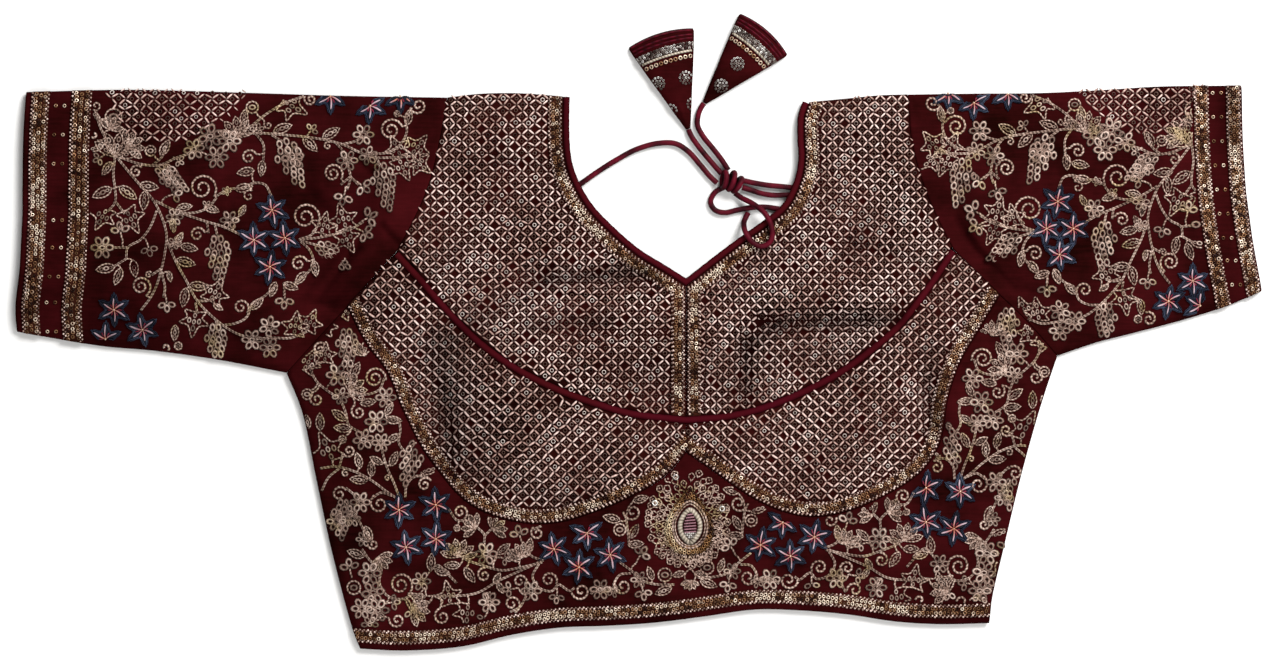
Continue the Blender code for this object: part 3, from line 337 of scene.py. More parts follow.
BODICE_SPRIGS = [
    ("maple", -196, 22, 70, 12), ("maple", -184, 32, 60, 9), ("curl", -198, 12, 40, 4.2),
    ("grape", -181, 24, -88, 23), ("fan", -170, 8, 90, 9), ("maple", -208, -1, 60, 13),
    ("maple", -195, 4, 85, 11), ("flower", -187, -4, 0, 12), ("leaf", -176, -1, 62, 10),
    ("curl", -164, -6, -10, 6.6), ("fan", -180, -14, 35, 11), ("curl", -200, -19, 110, 4.6),
    ("button", -206, -16, 0, 7), ("flower", -185, -17, 10, 9), ("flower", -157, -18, 0, 11),
    ("leaf", -155, -25, 60, 8), ("curl", -174, -27, 120, 4.6), ("leaf", -168, -21, 10, 9),
    ("leaf", -186, -29, 145, 10), ("leaf", -184, -37, 175, 10), ("flower", -163, -33, 0, 12),
    ("leaf", -152, -32, -5, 9), ("leaf", -152, -43, 30, 8), ("flower", -171, -44, 10, 11),
    ("flower", -160, -46, 0, 10), ("grape", -138, -46, -106, 25), ("leaf", -130, -63, 15, 10),
    ("leaf", -198, -33, 90, 10), ("leaf", -206, -33, 100, 8), ("maple", -190, -57, 115, 17),
    ("button", -184, -44, 0, 5), ("curl", -180, -51, 200, 4), ("leaf", -174, -57, 105, 9),
    ("leaf", -166, -62, 90, 9), ("leaf", -174, -69, 175, 10), ("curl", -182, -65, 90, 2.4),
    ("leaf", -163, -57, 150, 8), ("leaf", -152, -56, 65, 9), ("curl", -156, -68, 0, 2.2),
    ("curl", -161, -84, 120, 5.8), ("curl", -186, -78, 30, 4.6), ("flower", -173, -83, 0, 11),
    ("grape", -183, -82, -95, 22), ("flower", -188, -95, 0, 10), ("flower", -178, -93, 0, 9),
    ("leaf", -168, -103, -70, 10), ("flower", -171, -106, 0, 8), ("curl", -165, -109, 110, 3.8),
    ("leaf", -176, -115, 160, 10), ("fan", -162, -117, -50, 9), ("trefoil", -178, -130, 105, 11),
    ("button", -177, -136, 0, 9), ("flower", -167, -127, 0, 12), ("flower", -165, -139, 10, 12),
    ("flower", -172, -149, 0, 11), ("flower", -162, -150, 0, 12), ("flower", -167, -159, 0, 9),
    ("trefoil", -158, -146, 10, 9), ("curl", -148, -134, -50, 7.4), ("flower", -135, -132, 0, 10),
    ("leaf", -129, -120, 85, 10), ("leaf", -122, -126, -15, 9), ("fan", -141, -149, -10, 11),
    ("trefoil", -144, -146, -60, 9), ("curl", -150, -156, 170, 4.8), ("curl", -122, -154, 110, 5),
    ("maple", -131, -146, 150, 12), ("curl", -133, -72, 30, 4.4), ("maple", -117, -146, 100, 13),
    ("curl", -111, -89, -60, 4.6), ("fan", -101, -99, 150, 9), ("fan", -91, -100, 35, 9),
    ("button", -113, -99, 0, 4), ("fan", -112, -117, 100, 11), ("leaf", -104, -116, 20, 7),
    ("flower", -95, -115, 0, 12), ("leaf", -84, -112, 40, 9), ("trefoil", -88, -117, -10, 8),
    ("leaf", -116, -122, 180, 9), ("leaf", -105, -128, -55, 10), ("curl", -96, -128, 80, 4.4),
    ("maple", -106, -146, -95, 14), ("flower", -93, -145, 0, 11), ("trefoil", -94, -151, -120, 8),
    ("curl", -74, -132, -50, 4.6), ("curl", -56, -131, -30, 5), ("flower", -67, -138, 0, 11),
    ("trefoil", -75, -136, 190, 9), ("leaf", -78, -116, 140, 10), ("fan", -72, -117, 120, 9),
    ("trefoil", -72, -109, 110, 11), ("curl", -63, -102, 60, 4.8), ("leaf", -68, -110, 80, 9),
    ("curl", -79, -146, -70, 5.4), ("trefoil", -51, -136, -90, 9), ("curl", -36, -138, 190, 5.6),
    ("flower", -24, -137, 0, 11), ("flower", -16, -138, 0, 7), ("curl", -10, -135, 140, 5.6),
    ("flower", 0, -131, 0, 9), ("trefoil", 1, -133, -75, 10), ("leaf", 7, -127, 110, 8),
    ("button", 16, -128, 0, 9), ("leaf", 15, -138, 200, 10), ("curl", -4, -89, 180, 5.4),
    ("leaf", 1, -81, 15, 9), ("leaf", -17, -93, 165, 10), ("button", -12, -100, 0, 8),
    ("leaf", -3, -101, 60, 9), ("leaf", -2, -109, 5, 9), ("trefoil", -2, -121, 60, 11),
    ("leaf", -88, -130, 60, 7), ("leaf", -86, -136, -60, 7),
]
SLEEVE_STARS = [  # x, y, turn
    (-227.5, 98.3, 10), (-238.7, 79.7, 0), (-219.5, 80.9, 4), (-228.8, 63, -6), (-325.5, 36.3, 0),
    (-308, 23.9, 8), (-331, 18.3, 0), (-166.8, 162.8, 0), (-191.6, 169, 0), (-148.2, 169, 0),
]
BODICE_STARS = [
    (-148.8, -87.7, 0), (-125.9, -84.6, 6), (-144.5, -110.7, 10), (-125.9, -105.7, -6), (-52.7, -111.9, 12),
    (-32.2, -102, 4), (-37.2, -123, -2), (-18, -115.4, 8),
]
SLEEVE_LATTICE = [
    (-333, 173), (-243, 172), (-250, 161), (-262, 152), (-270, 147), (-283, 140), (-300, 139), (-318, 145),
]

# Painted highlights on the borders' sequins where they catch the light, and painted shade where a strength is
# negative
GLINTS = [  # x, y, reach, strength
    (-27, 85, 6, 1), (-36, 98, 8, 0.5), (12, 59, 5, 0.3), (36, 50, 4, 0.9), (47, 59, 7, 0.9),
    (70, 78, 7, 0.5), (109, 155, 8, 0.5), (108, 138, 8, 0.6), (106, 122, 6, 0.6), (24.5, 46.5, 4, 0.6),
    (26, 34, 5, 0.6), (26, 9, 4, 0.4), (24, -2, 5, -0.5), (24, -14, 3, 1.2), (35, 36, 4, 0.6),
    (36, 28, 3, -0.5), (36, 15, 4, 0.8), (34, -2, 5, -0.6), (34, -14, 3, 0.7), (34.6, -21, 2.5, -0.8),
    (-133, -166, 7, 1), (-103, -164, 5, 0.5), (-60, -153, 6, 1), (-44, -152, 9, 0.4), (-16, -151, 5, 0.5),
    (78, -143, 7, 0.9), (92, -143, 4, 0.8), (117, -143, 7, 1), (140, -146, 9, 0.6), (162, -149, 5, 1),
    (-78, -89, 5, 1), (-30, -84, 5, 0.6), (-375, 139, 4, 1), (-375, 108, 10, 0.8), (-376, 84, 8, 0.6),
    (-351, 168, 4, 1), (-158, -4, 6, 0.5), (-146, -26, 5, 0.3), (370, 132, 6, 0.8), (368, 120, 6, 0.4),
    (378, 70, 6, 0.5), (208, 18, 6, 0.6), (200, 4, 6, 0.4),
]


# Lines on the layout

def smooth_line(points, step=1.0):
    """Dense line through the points, by centripetal Catmull-Rom spans."""
    knots = np.array(points, float)
    padded = np.vstack([2 * knots[0] - knots[1], knots, 2 * knots[-1] - knots[-2]])
    pieces = []
    for k in range(1, len(padded) - 2):
        p0, p1, p2, p3 = padded[k - 1:k + 3]
        t1 = np.linalg.norm(p1 - p0) ** 0.5
        t2 = t1 + np.linalg.norm(p2 - p1) ** 0.5
        t3 = t2 + np.linalg.norm(p3 - p2) ** 0.5
        count = max(2, int(np.linalg.norm(p2 - p1) / step) + 1)
        t = np.linspace(t1, t2, count, endpoint=False)[:, None]
        a1 = (t1 - t) / t1 * p0 + t / t1 * p1
        a2 = (t2 - t) / (t2 - t1) * p1 + (t - t1) / (t2 - t1) * p2
        a3 = (t3 - t) / (t3 - t2) * p2 + (t - t2) / (t3 - t2) * p3
        b1 = (t2 - t) / t2 * a1 + t / t2 * a2
        b2 = (t3 - t) / (t3 - t1) * a2 + (t - t1) / (t3 - t1) * a3
        pieces.append((t2 - t) / (t2 - t1) * b1 + (t - t1) / (t2 - t1) * b2)
    return np.vstack(pieces + [knots[-1:]])


def lengths_along(line):
    steps = np.linalg.norm(np.diff(line, axis=0), axis=1)
    return np.concatenate([[0.0], np.cumsum(steps)])


def at_fractions(line, fractions):
    """Points at these shares of the line's length."""
    along = lengths_along(line)
    wanted = np.asarray(fractions, float) * along[-1]
    return np.stack([np.interp(wanted, along, line[:, k]) for k in range(line.shape[1])], axis=1)


def spaced(line, count):
    return at_fractions(line, np.linspace(0.0, 1.0, count))


def closed_up(loop):
    """The loop with its first point again at its end."""
    return np.vstack([loop, loop[:1]])


def circle(count):
    """Even angles all round."""
    return 2 * math.pi * np.arange(count) / count


def nearest_on(line, point):
    """The point of the line that is nearest to this one."""
    starts, spans = line[:-1], np.diff(line, axis=0)
    shares = np.clip(np.sum((point - starts) * spans, axis=1) / np.sum(spans ** 2, axis=1), 0.0, 1.0)
    places = starts + shares[:, None] * spans
    return places[np.argmin(np.linalg.norm(places - point, axis=1))]


def rest_of(line, start):
    """The part of the line after its nearest point to start, beginning at start itself."""
    nearest = int(np.argmin(np.linalg.norm(line - start, axis=1)))
    tail = line[nearest + 1:] if nearest + 1 < len(line) else line[-1:]
    return np.vstack([start[None, :], tail])


def inset_loop(loop, distances):
    """Move each edge of a closed loop inwards by its own distance and join the edges again."""
    ahead = np.roll(loop, -1, axis=0)
    area = np.sum(loop[:, 0] * ahead[:, 1] - ahead[:, 0] * loop[:, 1])
    edges = ahead - loop
    edges /= np.linalg.norm(edges, axis=1)[:, None]
    normals = np.sign(area) * np.stack([-edges[:, 1], edges[:, 0]], axis=1)
    moved = []
    for k in range(len(loop)):
        n1, n2 = normals[k - 1], normals[k]
        d1, d2 = distances[k - 1], distances[k]
        cross = n1[0] * n2[1] - n1[1] * n2[0]
        if abs(cross) < 0.02:       # nearly in line
            middle = n1 + n2
            shift = middle / (middle @ middle) * (d1 + d2)
        else:
            shift = np.array([d1 * n2[1] - d2 * n1[1], d2 * n1[0] - d1 * n2[0]]) / cross
        moved.append(loop[k] + shift)
    return np.array(moved)


def inset_sides(edge, side_b, far, side_a, distances):
    """Inset a piece with four sides; distances are those of edge, side_b, far and side_a."""
    parts = [edge[:-1], side_b[:-1], far[::-1][:-1], side_a[::-1][:-1]]
    each = np.concatenate([np.broadcast_to(d, len(part)) for part, d in zip(parts, distances)])
    moved = closed_up(inset_loop(np.vstack(parts), each))
    starts = np.cumsum([0] + [len(part) for part in parts])
    new_edge, new_b, new_far, new_a = (moved[a:b + 1] for a, b in zip(starts, starts[1:]))
    return new_edge, new_b, new_far[::-1], new_a[::-1]


def lines_between(edge, side_b, far, side_a, strips, count):
    """Lines from edge to far: some at set distances from the edge, the rest evenly spaced."""
    lines = [edge]
    for distance in strips:
        inner = inset_sides(edge, side_b, far, side_a, (distance, 0.0, 0.0, 0.0))[0]
        inner[0] = nearest_on(side_a, inner[0])
        inner[-1] = nearest_on(side_b, inner[-1])
        lines.append(inner)
    last = lines[-1]
    rest_a, rest_b = rest_of(side_a, last[0]), rest_of(side_b, last[-1])
    across = np.linspace(0.0, 1.0, len(edge))[:, None]
    for share in np.linspace(0.0, 1.0, count + 1)[1:]:
        ruled = (1 - share) * last + share * far
        pull_a = at_fractions(rest_a, [share])[0] - ruled[0]
        pull_b = at_fractions(rest_b, [share])[0] - ruled[-1]
        lines.append(ruled + (1 - across) * pull_a + across * pull_b)
    return lines


def distance_to_line(points, line):
    best = np.full(len(points), np.inf)
    line = np.asarray(line)
    for start, end in zip(line[:-1], line[1:]):
        span = end - start
        share = np.clip(((points - start) @ span) / max(span @ span, 1e-9), 0.0, 1.0)
        best = np.minimum(best, np.linalg.norm(points - start - share[:, None] * span, axis=1))
    return best


def inside(points, outline):
    """True for the points that a closed outline goes round."""
    x, y = points.T
    odd = np.zeros(len(points), bool)
    for (x0, y0), (x1, y1) in zip(outline, np.roll(outline, -1, axis=0)):
        if y0 != y1:
            odd ^= ((y0 > y) != (y1 > y)) & (x < (x1 - x0) * (y - y0) / (y1 - y0) + x0)
    return odd


def finer(lines, along=True):
    """Lines twice as close together, and their points too where along is set."""
    grid = np.array(lines)
    for axis in (0, 1) if along else (0,):
        grid = np.moveaxis(grid, axis, 0)
        dense = np.empty((2 * len(grid) - 1, *grid.shape[1:]))
        dense[::2], dense[1::2] = grid, (grid[1:] + grid[:-1]) / 2
        grid = np.moveaxis(dense, 0, axis)
    return list(grid)


def grid_outline(lines):
    """The closed edge of a piece made of lines."""
    right = [line[-1] for line in lines[1:-1]]
    left = [line[0] for line in lines[-2:0:-1]]
    return np.vstack([lines[0], right, lines[-1][::-1], left])


# Height of the front layer

SEWN_EDGES = [smooth_line(HEM, step=12.0)] + [
    smooth_line(seams[name], step=12.0) for seams in SEAMS.values()
    for name in ("sleeve_top", "shoulder", "underarm", "side")
]


def ridge(points, x0, y0, x1, y1, spread):
    """One on the line from x0, y0 to x1, y1, falling off softly to both sides."""
    return np.exp(-(distance_to_line(points, [(x0, y0), (x1, y1)]) / spread) ** 2)


def cloth_height(points):
    """Height of the front's outer side: the form of the solids with the fine creases on it."""
    away = np.min([distance_to_line(points, line) for line in SEWN_EDGES], axis=0)
    lift = 1.0 - np.exp(-away / EDGE_ROUNDING)
    height = EDGE_HEIGHT + (BODY_HEIGHT - EDGE_HEIGHT) * lift
    for x, y in CUP_CROWNS:
        reach = np.hypot((points[:, 0] - x) / CUP_ACROSS, (points[:, 1] - y) / CUP_ALONG)
        height += CUP_RISE * lift * (0.5 + 0.5 * np.cos(math.pi * np.minimum(reach, 1.0)))
    for folds, deeper in ((FOLDS, FOLD_DEEPER), (CREASES, CREASE_DEEPER)):
        for *place, rise, spread in folds:
            height += deeper * rise * lift * ridge(points, *place, spread)
    return height


class Field:
    """Values of a function on a grid over the layout, read back by linear steps."""

    def __init__(self, function, low, high, step):
        self.low, self.step = np.array(low, float), step
        self.size = ((np.array(high) - self.low) / step).astype(int) + 2
        x, y = (start + step * np.arange(n) for start, n in zip(self.low, self.size))
        grid = np.stack(np.meshgrid(x, y, indexing="ij"), axis=-1).reshape(-1, 2)
        self.values = function(grid).reshape(self.size)

    def __call__(self, points):
        place = (np.asarray(points) - self.low) / self.step
        place = np.clip(place, 0, self.size - 1.001)
        i, j = place.astype(int).T
        u, v = (place - place.astype(int)).T
        h = self.values
        return ((1 - u) * (1 - v) * h[i, j] + u * (1 - v) * h[i + 1, j]
                + (1 - u) * v * h[i, j + 1] + u * v * h[i + 1, j + 1])


FOLD_SHADE, CREASE_SHADE = 0.2, 0.62       # darkness of a trough for each mm of its rise
DARKEST_FOLD = 0.8


def cloth_shade(points):
    """How dark the cloth lies in its troughs and away from the light, from 0 to 1."""
    troughs = [(*place, -share * rise, 0.8 * spread)
               for folds, share in ((FOLDS, FOLD_SHADE), (CREASES, CREASE_SHADE))
               for *place, rise, spread in folds if rise < 0]
    light = np.ones(len(points))
    for *place, dark, spread in troughs + SHADED:
        light *= 1.0 - min(dark, DARKEST_FOLD) * ridge(points, *place, spread)
    return 1.0 - light


LAYOUT = (-400.0, -186.0), (400.0, 186.0)
cloth_top = Field(cloth_height, *LAYOUT, 1.25)
shade_at = Field(cloth_shade, *LAYOUT, 2.0)


def room_in(outline):
    """Distance to a closed outline over the layout, negative outside it."""
    edge = closed_up(outline)
    return Field(lambda p: np.where(inside(p, outline), 1.0, -1.0) * distance_to_line(p, edge),
                 outline.min(0) - 8.0, outline.max(0) + 8.0, 1.0)


def read_off(sections, place, column):
    """A column of a table of sections, read between its rows."""
    rows = np.array(sections)
    return np.interp(place, rows[:, 0], rows[:, column])


MOTIF_LIFT = GAP + 0.1       # the stuffed teardrop's underside over the cloth


def motif_top(points):
    """Height of the stuffed teardrop's upper side."""
    points = np.asarray(points)
    y = points[:, 1] - MOTIF_CENTRE[1]
    half_width = np.maximum(read_off(MOTIF_SECTIONS, y, 1), 0.3)
    across = np.clip(np.abs(points[:, 0] - MOTIF_CENTRE[0]) / half_width, 0.0, 1.0)
    thick = read_off(MOTIF_SECTIONS, y, 2)
    return cloth_top(points) + MOTIF_LIFT + thick * read_off(MOTIF_PROFILE, across, 1)


class Latkan:
    """The form of one stuffed triangle; a place on it is a share of its length and of its width."""

    def __init__(self, tip, end, width):
        self.tip, self.width = np.array(tip), width
        self.length = np.linalg.norm(np.array(end) - self.tip)
        self.ahead = (np.array(end) - self.tip) / self.length
        self.across = np.array([-self.ahead[1], self.ahead[0]])

    def half_width(self, share):
        return read_off(LATKAN_SECTIONS, share, 1) * self.width / 2

    def height(self, share, side, up=1.0):
        thick = read_off(LATKAN_SECTIONS, share, 2) * LATKAN_THICK
        belly = (1 - LATKAN_BELLY) if up > 0 else -LATKAN_BELLY
        return thick * (LATKAN_BELLY + belly * np.sqrt(np.clip(1 - side ** 2, 0.0, 1.0)))

    def place(self, share, side, up=1.0):
        """Layout points at these shares; up is 1 on the upper side and -1 underneath."""
        share, side = np.broadcast_arrays(np.asarray(share, float), np.asarray(side, float))
        crown = LATKAN_CROWN * share ** 4 * (1 - side ** 2)
        flat = (self.tip + np.multiply.outer(self.length * share + crown, self.ahead)
                + np.multiply.outer(side * self.half_width(share), self.across))
        return np.column_stack([flat, self.height(share, side, up)])

    def top(self, points):
        """Height of the upper side over layout points."""
        rel = np.asarray(points) - self.tip
        share = np.clip(rel @ self.ahead / self.length, 0.0, 1.0)
        side = np.clip(rel @ self.across / self.half_width(share), -1.0, 1.0)
        share = np.clip(share - LATKAN_CROWN * share ** 4 * (1 - side ** 2) / self.length, 0.0, 1.0)
        return self.height(share, side)

    def on_top(self, points):
        """True for layout points well inside the triangle."""
        rel = np.asarray(points) - self.tip
        return np.abs(rel @ self.across) < self.half_width(rel @ self.ahead / self.length) - 0.8


# The pattern pieces, sampled finely

class Half:
    """One half of the blouse: its seams, sampled once so that neighbours share points."""

    def __init__(self, tag):
        self.tag = tag
        for name, points in SEAMS[tag].items():
            line = smooth_line(points)
            setattr(self, name, spaced(line, SEAM_POINTS[name]) if name in SEAM_POINTS else line)
        self.armhole = np.vstack([self.arm_upper, self.arm_lower])

    def upper_cup_sides(self, neck_room):
        """Inset sides of the upper cup; its first edge runs down the neck and the centre front."""
        centre_front = spaced(np.array([self.neckline[-1], self.cup_seam[-1]]), N_CENTRE_FRONT + 1)
        edge = np.vstack([self.neckline, centre_front[1:]])
        room = np.full(len(edge) - 1, GAP / 2)
        room[:N_NECKLINE - 1] = neck_room
        return inset_sides(edge, self.cup_seam[::-1], self.arm_upper, self.shoulder[::-1],
                           (room, SEAM_PIPING / 2 + GAP, GAP / 2, 0.0))

    def upper_cup(self):
        return lines_between(*self.upper_cup_sides(NECK_PIPING + GAP), BORDER_STRIP, UPPER_CUP_LINES)

    def lower_cup(self):
        armhole, centre_front = (np.array([self.under_bust[end], self.cup_seam[end]]) for end in (0, -1))
        sides = inset_sides(self.under_bust, centre_front, spaced(self.cup_seam, N_UNDER_BUST), armhole,
                            (GAP / 2, GAP / 2, SEAM_PIPING / 2 + GAP, GAP / 2))
        return lines_between(*sides, BORDER_STRIP, LOWER_CUP_LINES)

    def sleeve(self):
        cuff = at_fractions(self.cuff, lengths_along(self.armhole) / lengths_along(self.armhole)[-1])
        sides = inset_sides(cuff, self.underarm, self.armhole, self.sleeve_top, (0.0, 0.0, GAP / 2, 0.0))
        return lines_between(*sides, CUFF_BANDS[self.tag], SLEEVE_LINES)

    def back(self):
        """Outline of this half of the back."""
        mirror = 1.0 if self.tag == "left" else -1.0
        neck = smooth_line([(CENTRE_X + mirror * x, y) for x, y in BACK_NECK], step=4.0)
        neck = neck[neck[:, 1] < self.shoulder[:, 1].min()]
        reach = abs(neck[0, 0] - CENTRE_X)
        shoulder = self.shoulder[np.abs(self.shoulder[:, 0] - CENTRE_X) > reach + BACK_HIDDEN][::4]
        hem = smooth_line(HEM, step=4.0)
        hem = hem[mirror * (CENTRE_X - hem[:, 0]) > 4.0][::int(mirror)]
        centre = np.array([(CENTRE_X, hem[-1, 1])])
        parts = [self.armhole[:-1], self.side[::4][:-1], hem, centre, neck[::-1], shoulder[::-1][:-1]]
        rooms = [GAP / 2, BACK_HIDDEN, BACK_HIDDEN, GAP / 2, 0.0, BACK_HIDDEN]
        each = np.concatenate([np.full(len(part), room) for part, room in zip(parts, rooms)])
        return inset_loop(np.vstack(parts), each)


HALVES = LEFT, RIGHT = Half("left"), Half("right")


def midriff():
    top = np.vstack([
        LEFT.arm_lower[::-1], LEFT.under_bust[1:], RIGHT.under_bust[::-1][1:], RIGHT.arm_lower[1:]])
    hem_x = read_off(MIDRIFF_COLUMNS, top[:, 0], 1)
    hem = np.column_stack([hem_x, read_off(smooth_line(HEM), hem_x, 1)])
    sides = inset_sides(hem, RIGHT.side[::-1], top, LEFT.side[::-1], (0.0, 0.0, GAP / 2, 0.0))
    return lines_between(*sides, (HEM_EDGE, HEM_EDGE + BORDER_WIDTH), MIDRIFF_LINES)


PANELS = {"midriff": midriff()}
for half in HALVES:
    PANELS.update({f"upper_cup_{half.tag}": half.upper_cup(), f"lower_cup_{half.tag}": half.lower_cup(),
                   f"sleeve_{half.tag}": half.sleeve()})

SLEEVE_SHORTER = 0.855
SLEEVE_NARROWER = 0.145
SLEEVE_LENGTH = 262.0


def to_right_sleeve(points):
    """Places of the left sleeve's pattern on the right sleeve, which lies a little turned."""
    x, y = np.asarray(points, float).T
    along = SEAMS["left"]["shoulder"][0][0] - x
    right_x = SEAMS["right"]["shoulder"][0][0] + along * SLEEVE_SHORTER
    narrower = 1.0 - SLEEVE_NARROWER * np.clip(along / SLEEVE_LENGTH, 0.0, 1.0)
    top_left = read_off(SEAMS["left"]["sleeve_top"], x, 1)
    top_right = read_off(SEAMS["right"]["sleeve_top"][::-1], right_x, 1)
    return np.column_stack([right_x, top_right - (top_left - y) * narrower])


def to_right_bodice(points):
    """Places of the left bodice's pattern on the right one, a little narrower and higher to its side."""
    x, y = np.asarray(points, float).T
    out = CENTRE_X - x
    return np.column_stack([CENTRE_X + out * (0.985 - 0.00017 * out), y + 4.0 + 0.042 * out])


# Meshes

def add_object(name, data):
    made = bpy.data.objects.new(name, data)
    bpy.context.scene.collection.objects.link(made)
    return made


def keep_values(mesh, name, values, kind="FLOAT"):
    """Keeps a number, or a vector, for each point of a mesh."""
    kept = mesh.attributes.get(name) or mesh.attributes.new(name, kind, "POINT")
    kept.data.foreach_set("value" if kind == "FLOAT" else "vector", np.asarray(values, np.float32).ravel())


def new_mesh_object(name, vertices, faces, finish=None, uvs=None, turn_out=True, deep=None):
    """An object from points in mm; uvs has one pair and the painted shade one share for each point."""
    mesh = bpy.data.meshes.new(name)
    mesh.from_pydata((np.asarray(vertices) * MM).tolist(), [], faces)
    if uvs is not None:
        loops = np.empty(len(mesh.loops), np.int32)
        mesh.loops.foreach_get("vertex_index", loops)
        layer = mesh.uv_layers.new(name="along")
        layer.data.foreach_set("uv", np.asarray(uvs, np.float32)[loops].ravel())
    if deep is not None:
        keep_values(mesh, "deep", deep)
    if turn_out:
        work = bmesh.new()
        work.from_mesh(mesh)
        bmesh.ops.recalc_face_normals(work, faces=work.faces)
        work.to_mesh(mesh)
        work.free()
    mesh.shade_smooth()
    if finish:
        mesh.materials.append(finish)
    return add_object(name, mesh)


def finish_piece(piece, slot, *replaced):
    """Ties a piece to the frame; every piece of the blouse rides on its one body."""
    mesh = piece.data
    count = len(mesh.vertices)
    places, own = np.empty(3 * count, np.float32), np.zeros(count, np.float32)
    mesh.vertices.foreach_get("co", places)
    if "deep" in mesh.attributes:
        mesh.attributes["deep"].data.foreach_get("value", own)
    # painted shade: what is already shaded between the cords gets darker still in a fold of the cloth and
    # where the cloth turns from the light
    shade = shade_at(places.reshape(-1, 3)[:, :2] / MM)
    keep_values(mesh, "deep", 1 - (1 - own) * (1 - shade))
    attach(piece, "root")
    if replaced:
        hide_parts(*replaced)
    return piece


def shell_from_lines(name, lines, lower, upper, finish):
    """A closed wall over a grid of layout points; lower and upper give its two heights."""
    rows, columns = len(lines), len(lines[0])
    flat = np.vstack(lines)
    vertices = np.vstack([np.column_stack([flat, upper(flat)]), np.column_stack([flat, lower(flat)])])
    grid = np.arange(rows * columns).reshape(rows, columns)
    over = np.stack([grid[:-1, :-1], grid[:-1, 1:], grid[1:, 1:], grid[1:, :-1]], axis=-1).reshape(-1, 4)
    rim = np.concatenate([grid[0], grid[1:, -1], grid[-1, -2::-1], grid[-2:0:-1, 0]])
    after = np.roll(rim, -1)
    sides = np.column_stack([rim, after, grid.size + after, grid.size + rim])
    faces = np.vstack([over, grid.size + over[:, ::-1], sides]).tolist()
    return new_mesh_object(name, vertices, faces, finish)


def ring_faces(rows, count, wraps=False, start=0):
    """Faces over rings of points: wraps joins the last ring to the first, else both ends are closed."""
    row = np.arange(rows if wraps else rows - 1)[:, None] * count
    over = (row + count) % (rows * count)
    point = np.arange(count)
    after = (point + 1) % count
    faces = np.stack([row + point, row + after, over + after, over + point], axis=-1).reshape(-1, 4)
    ends = [] if wraps else [point[::-1], (rows - 1) * count + point]
    return [(start + face).tolist() for face in [*faces, *ends]]


def rings_mesh(name, rings, finish, wraps=False, uvs=None, deep=None):
    """Skin over rings that all have the same number of points."""
    faces = ring_faces(len(rings), len(rings[0]), wraps)
    return new_mesh_object(name, np.vstack(rings), faces, finish, uvs, deep=deep)


def unit(vectors):
    """Each vector made one long."""
    return vectors / np.maximum(np.linalg.norm(vectors, axis=-1, keepdims=True), 1e-9)


def tube_uvs(run, sides):
    """Round the tube and along it, for every point of its rings."""
    return [(k / sides, far) for far in run for k in range(sides)]


# Sections of a laid thread: share across, share up
CORD_SECTION = [(-0.5, -0.25), (-0.28, 0.85), (0.0, 1.0), (0.28, 0.85), (0.5, -0.25)]
STEM_SECTION = [(-0.5, -0.25), (-0.27, 1.0), (0.0, 0.1), (0.27, 1.0), (0.5, -0.25)]     # two cords


class LaidThread:
    """Collects couched cords that lie on a surface, to be made one mesh."""

    def __init__(self, ground=cloth_top, room=None, margin=0.8):
        self.ground, self.room, self.margin = ground, room, margin
        self.vertices, self.faces, self.uvs, self.deep, self.count = [], [], [], [], 0

    def fits(self, points):
        """True for points on the cloth and clear of its edges."""
        return np.ones(len(points), bool) if self.room is None else self.room(points) > self.margin

    def lay(self, path, width, height, section=CORD_SECTION, closed=False, lift=0.0):
        """Lays one thread; of a path that leaves the cloth, the longest part on it is laid."""
        path = np.asarray(path, float)
        path = closed_up(path) if closed else path
        width = np.broadcast_to(width, len(path))
        kept = self.fits(path)
        if not kept.all():
            runs = np.split(np.arange(len(path)), np.flatnonzero(np.diff(kept.astype(int))) + 1)
            run = max((r for r in runs if kept[r[0]]), key=len, default=[])
            path, width = path[run], width[run]
        if len(path) < 3:
            return
        ahead = np.gradient(path, axis=0)
        if closed and kept.all():
            ahead[0] = ahead[-1] = path[1] - path[-2]
        ahead = unit(ahead)
        across = np.column_stack([-ahead[:, 1], ahead[:, 0]])
        base = self.ground(path) + lift
        rings = [np.column_stack([path + across * (share * width)[:, None], base + up * height])
                 for share, up in section]
        uvs = [(k / (len(section) - 1), far) for far in lengths_along(path) for k in range(len(section))]
        self.skin(np.stack(rings, axis=1), uvs, section)

    def skin(self, rings, uvs, section):
        """Adds a closed skin over rings of points, given as rows, points and coordinates."""
        rows, count = rings.shape[:2]
        self.faces += ring_faces(rows, count, start=self.count)
        self.vertices.append(rings.reshape(-1, 3))
        self.uvs.append(uvs)
        # painted shade: full at the thread's foot, none where it is highest
        self.deep.append(np.tile([1 - min(max(up, 0.0), 1.0) for _, up in section], rows))
        self.count += rows * count

    def finish(self, name, finish, slot="zari_applique"):
        made = new_mesh_object(name, np.vstack(self.vertices), self.faces, finish, np.vstack(self.uvs),
                               deep=np.concatenate(self.deep))
        return finish_piece(made, slot)


# Small pieces, scattered by Geometry Nodes

ROUND_SHAPES = {  # radius and height of each rim of a shape one wide and one high, and its sides
    "sequin": ([(0.5, 0.1), (0.34, 1.0), (0.17, 0.1)], 8),
    "loop": ([(0.5, 0.1), (0.36, 1.0), (0.14, 0.1)], 8),
    "ring": ([(0.5, 0.0), (0.39, 1.0), (0.26, 0.0)], 7),
}
BEAD_SIDES = 6
BEAD_RINGS = [(0.48, 0.22), (0.48, 0.72)]      # radius, height
STITCH_ENDS = [  # along, width, height
    (-0.5, 0.3, 0.1), (-0.24, 1.0, 0.95), (0.24, 1.0, 1.0), (0.5, 0.3, 0.1),
]


def rims(profile, sides):
    """Points of some rims, side by side."""
    return [(r * math.cos(a), r * math.sin(a), height) for a in circle(sides) for r, height in profile]


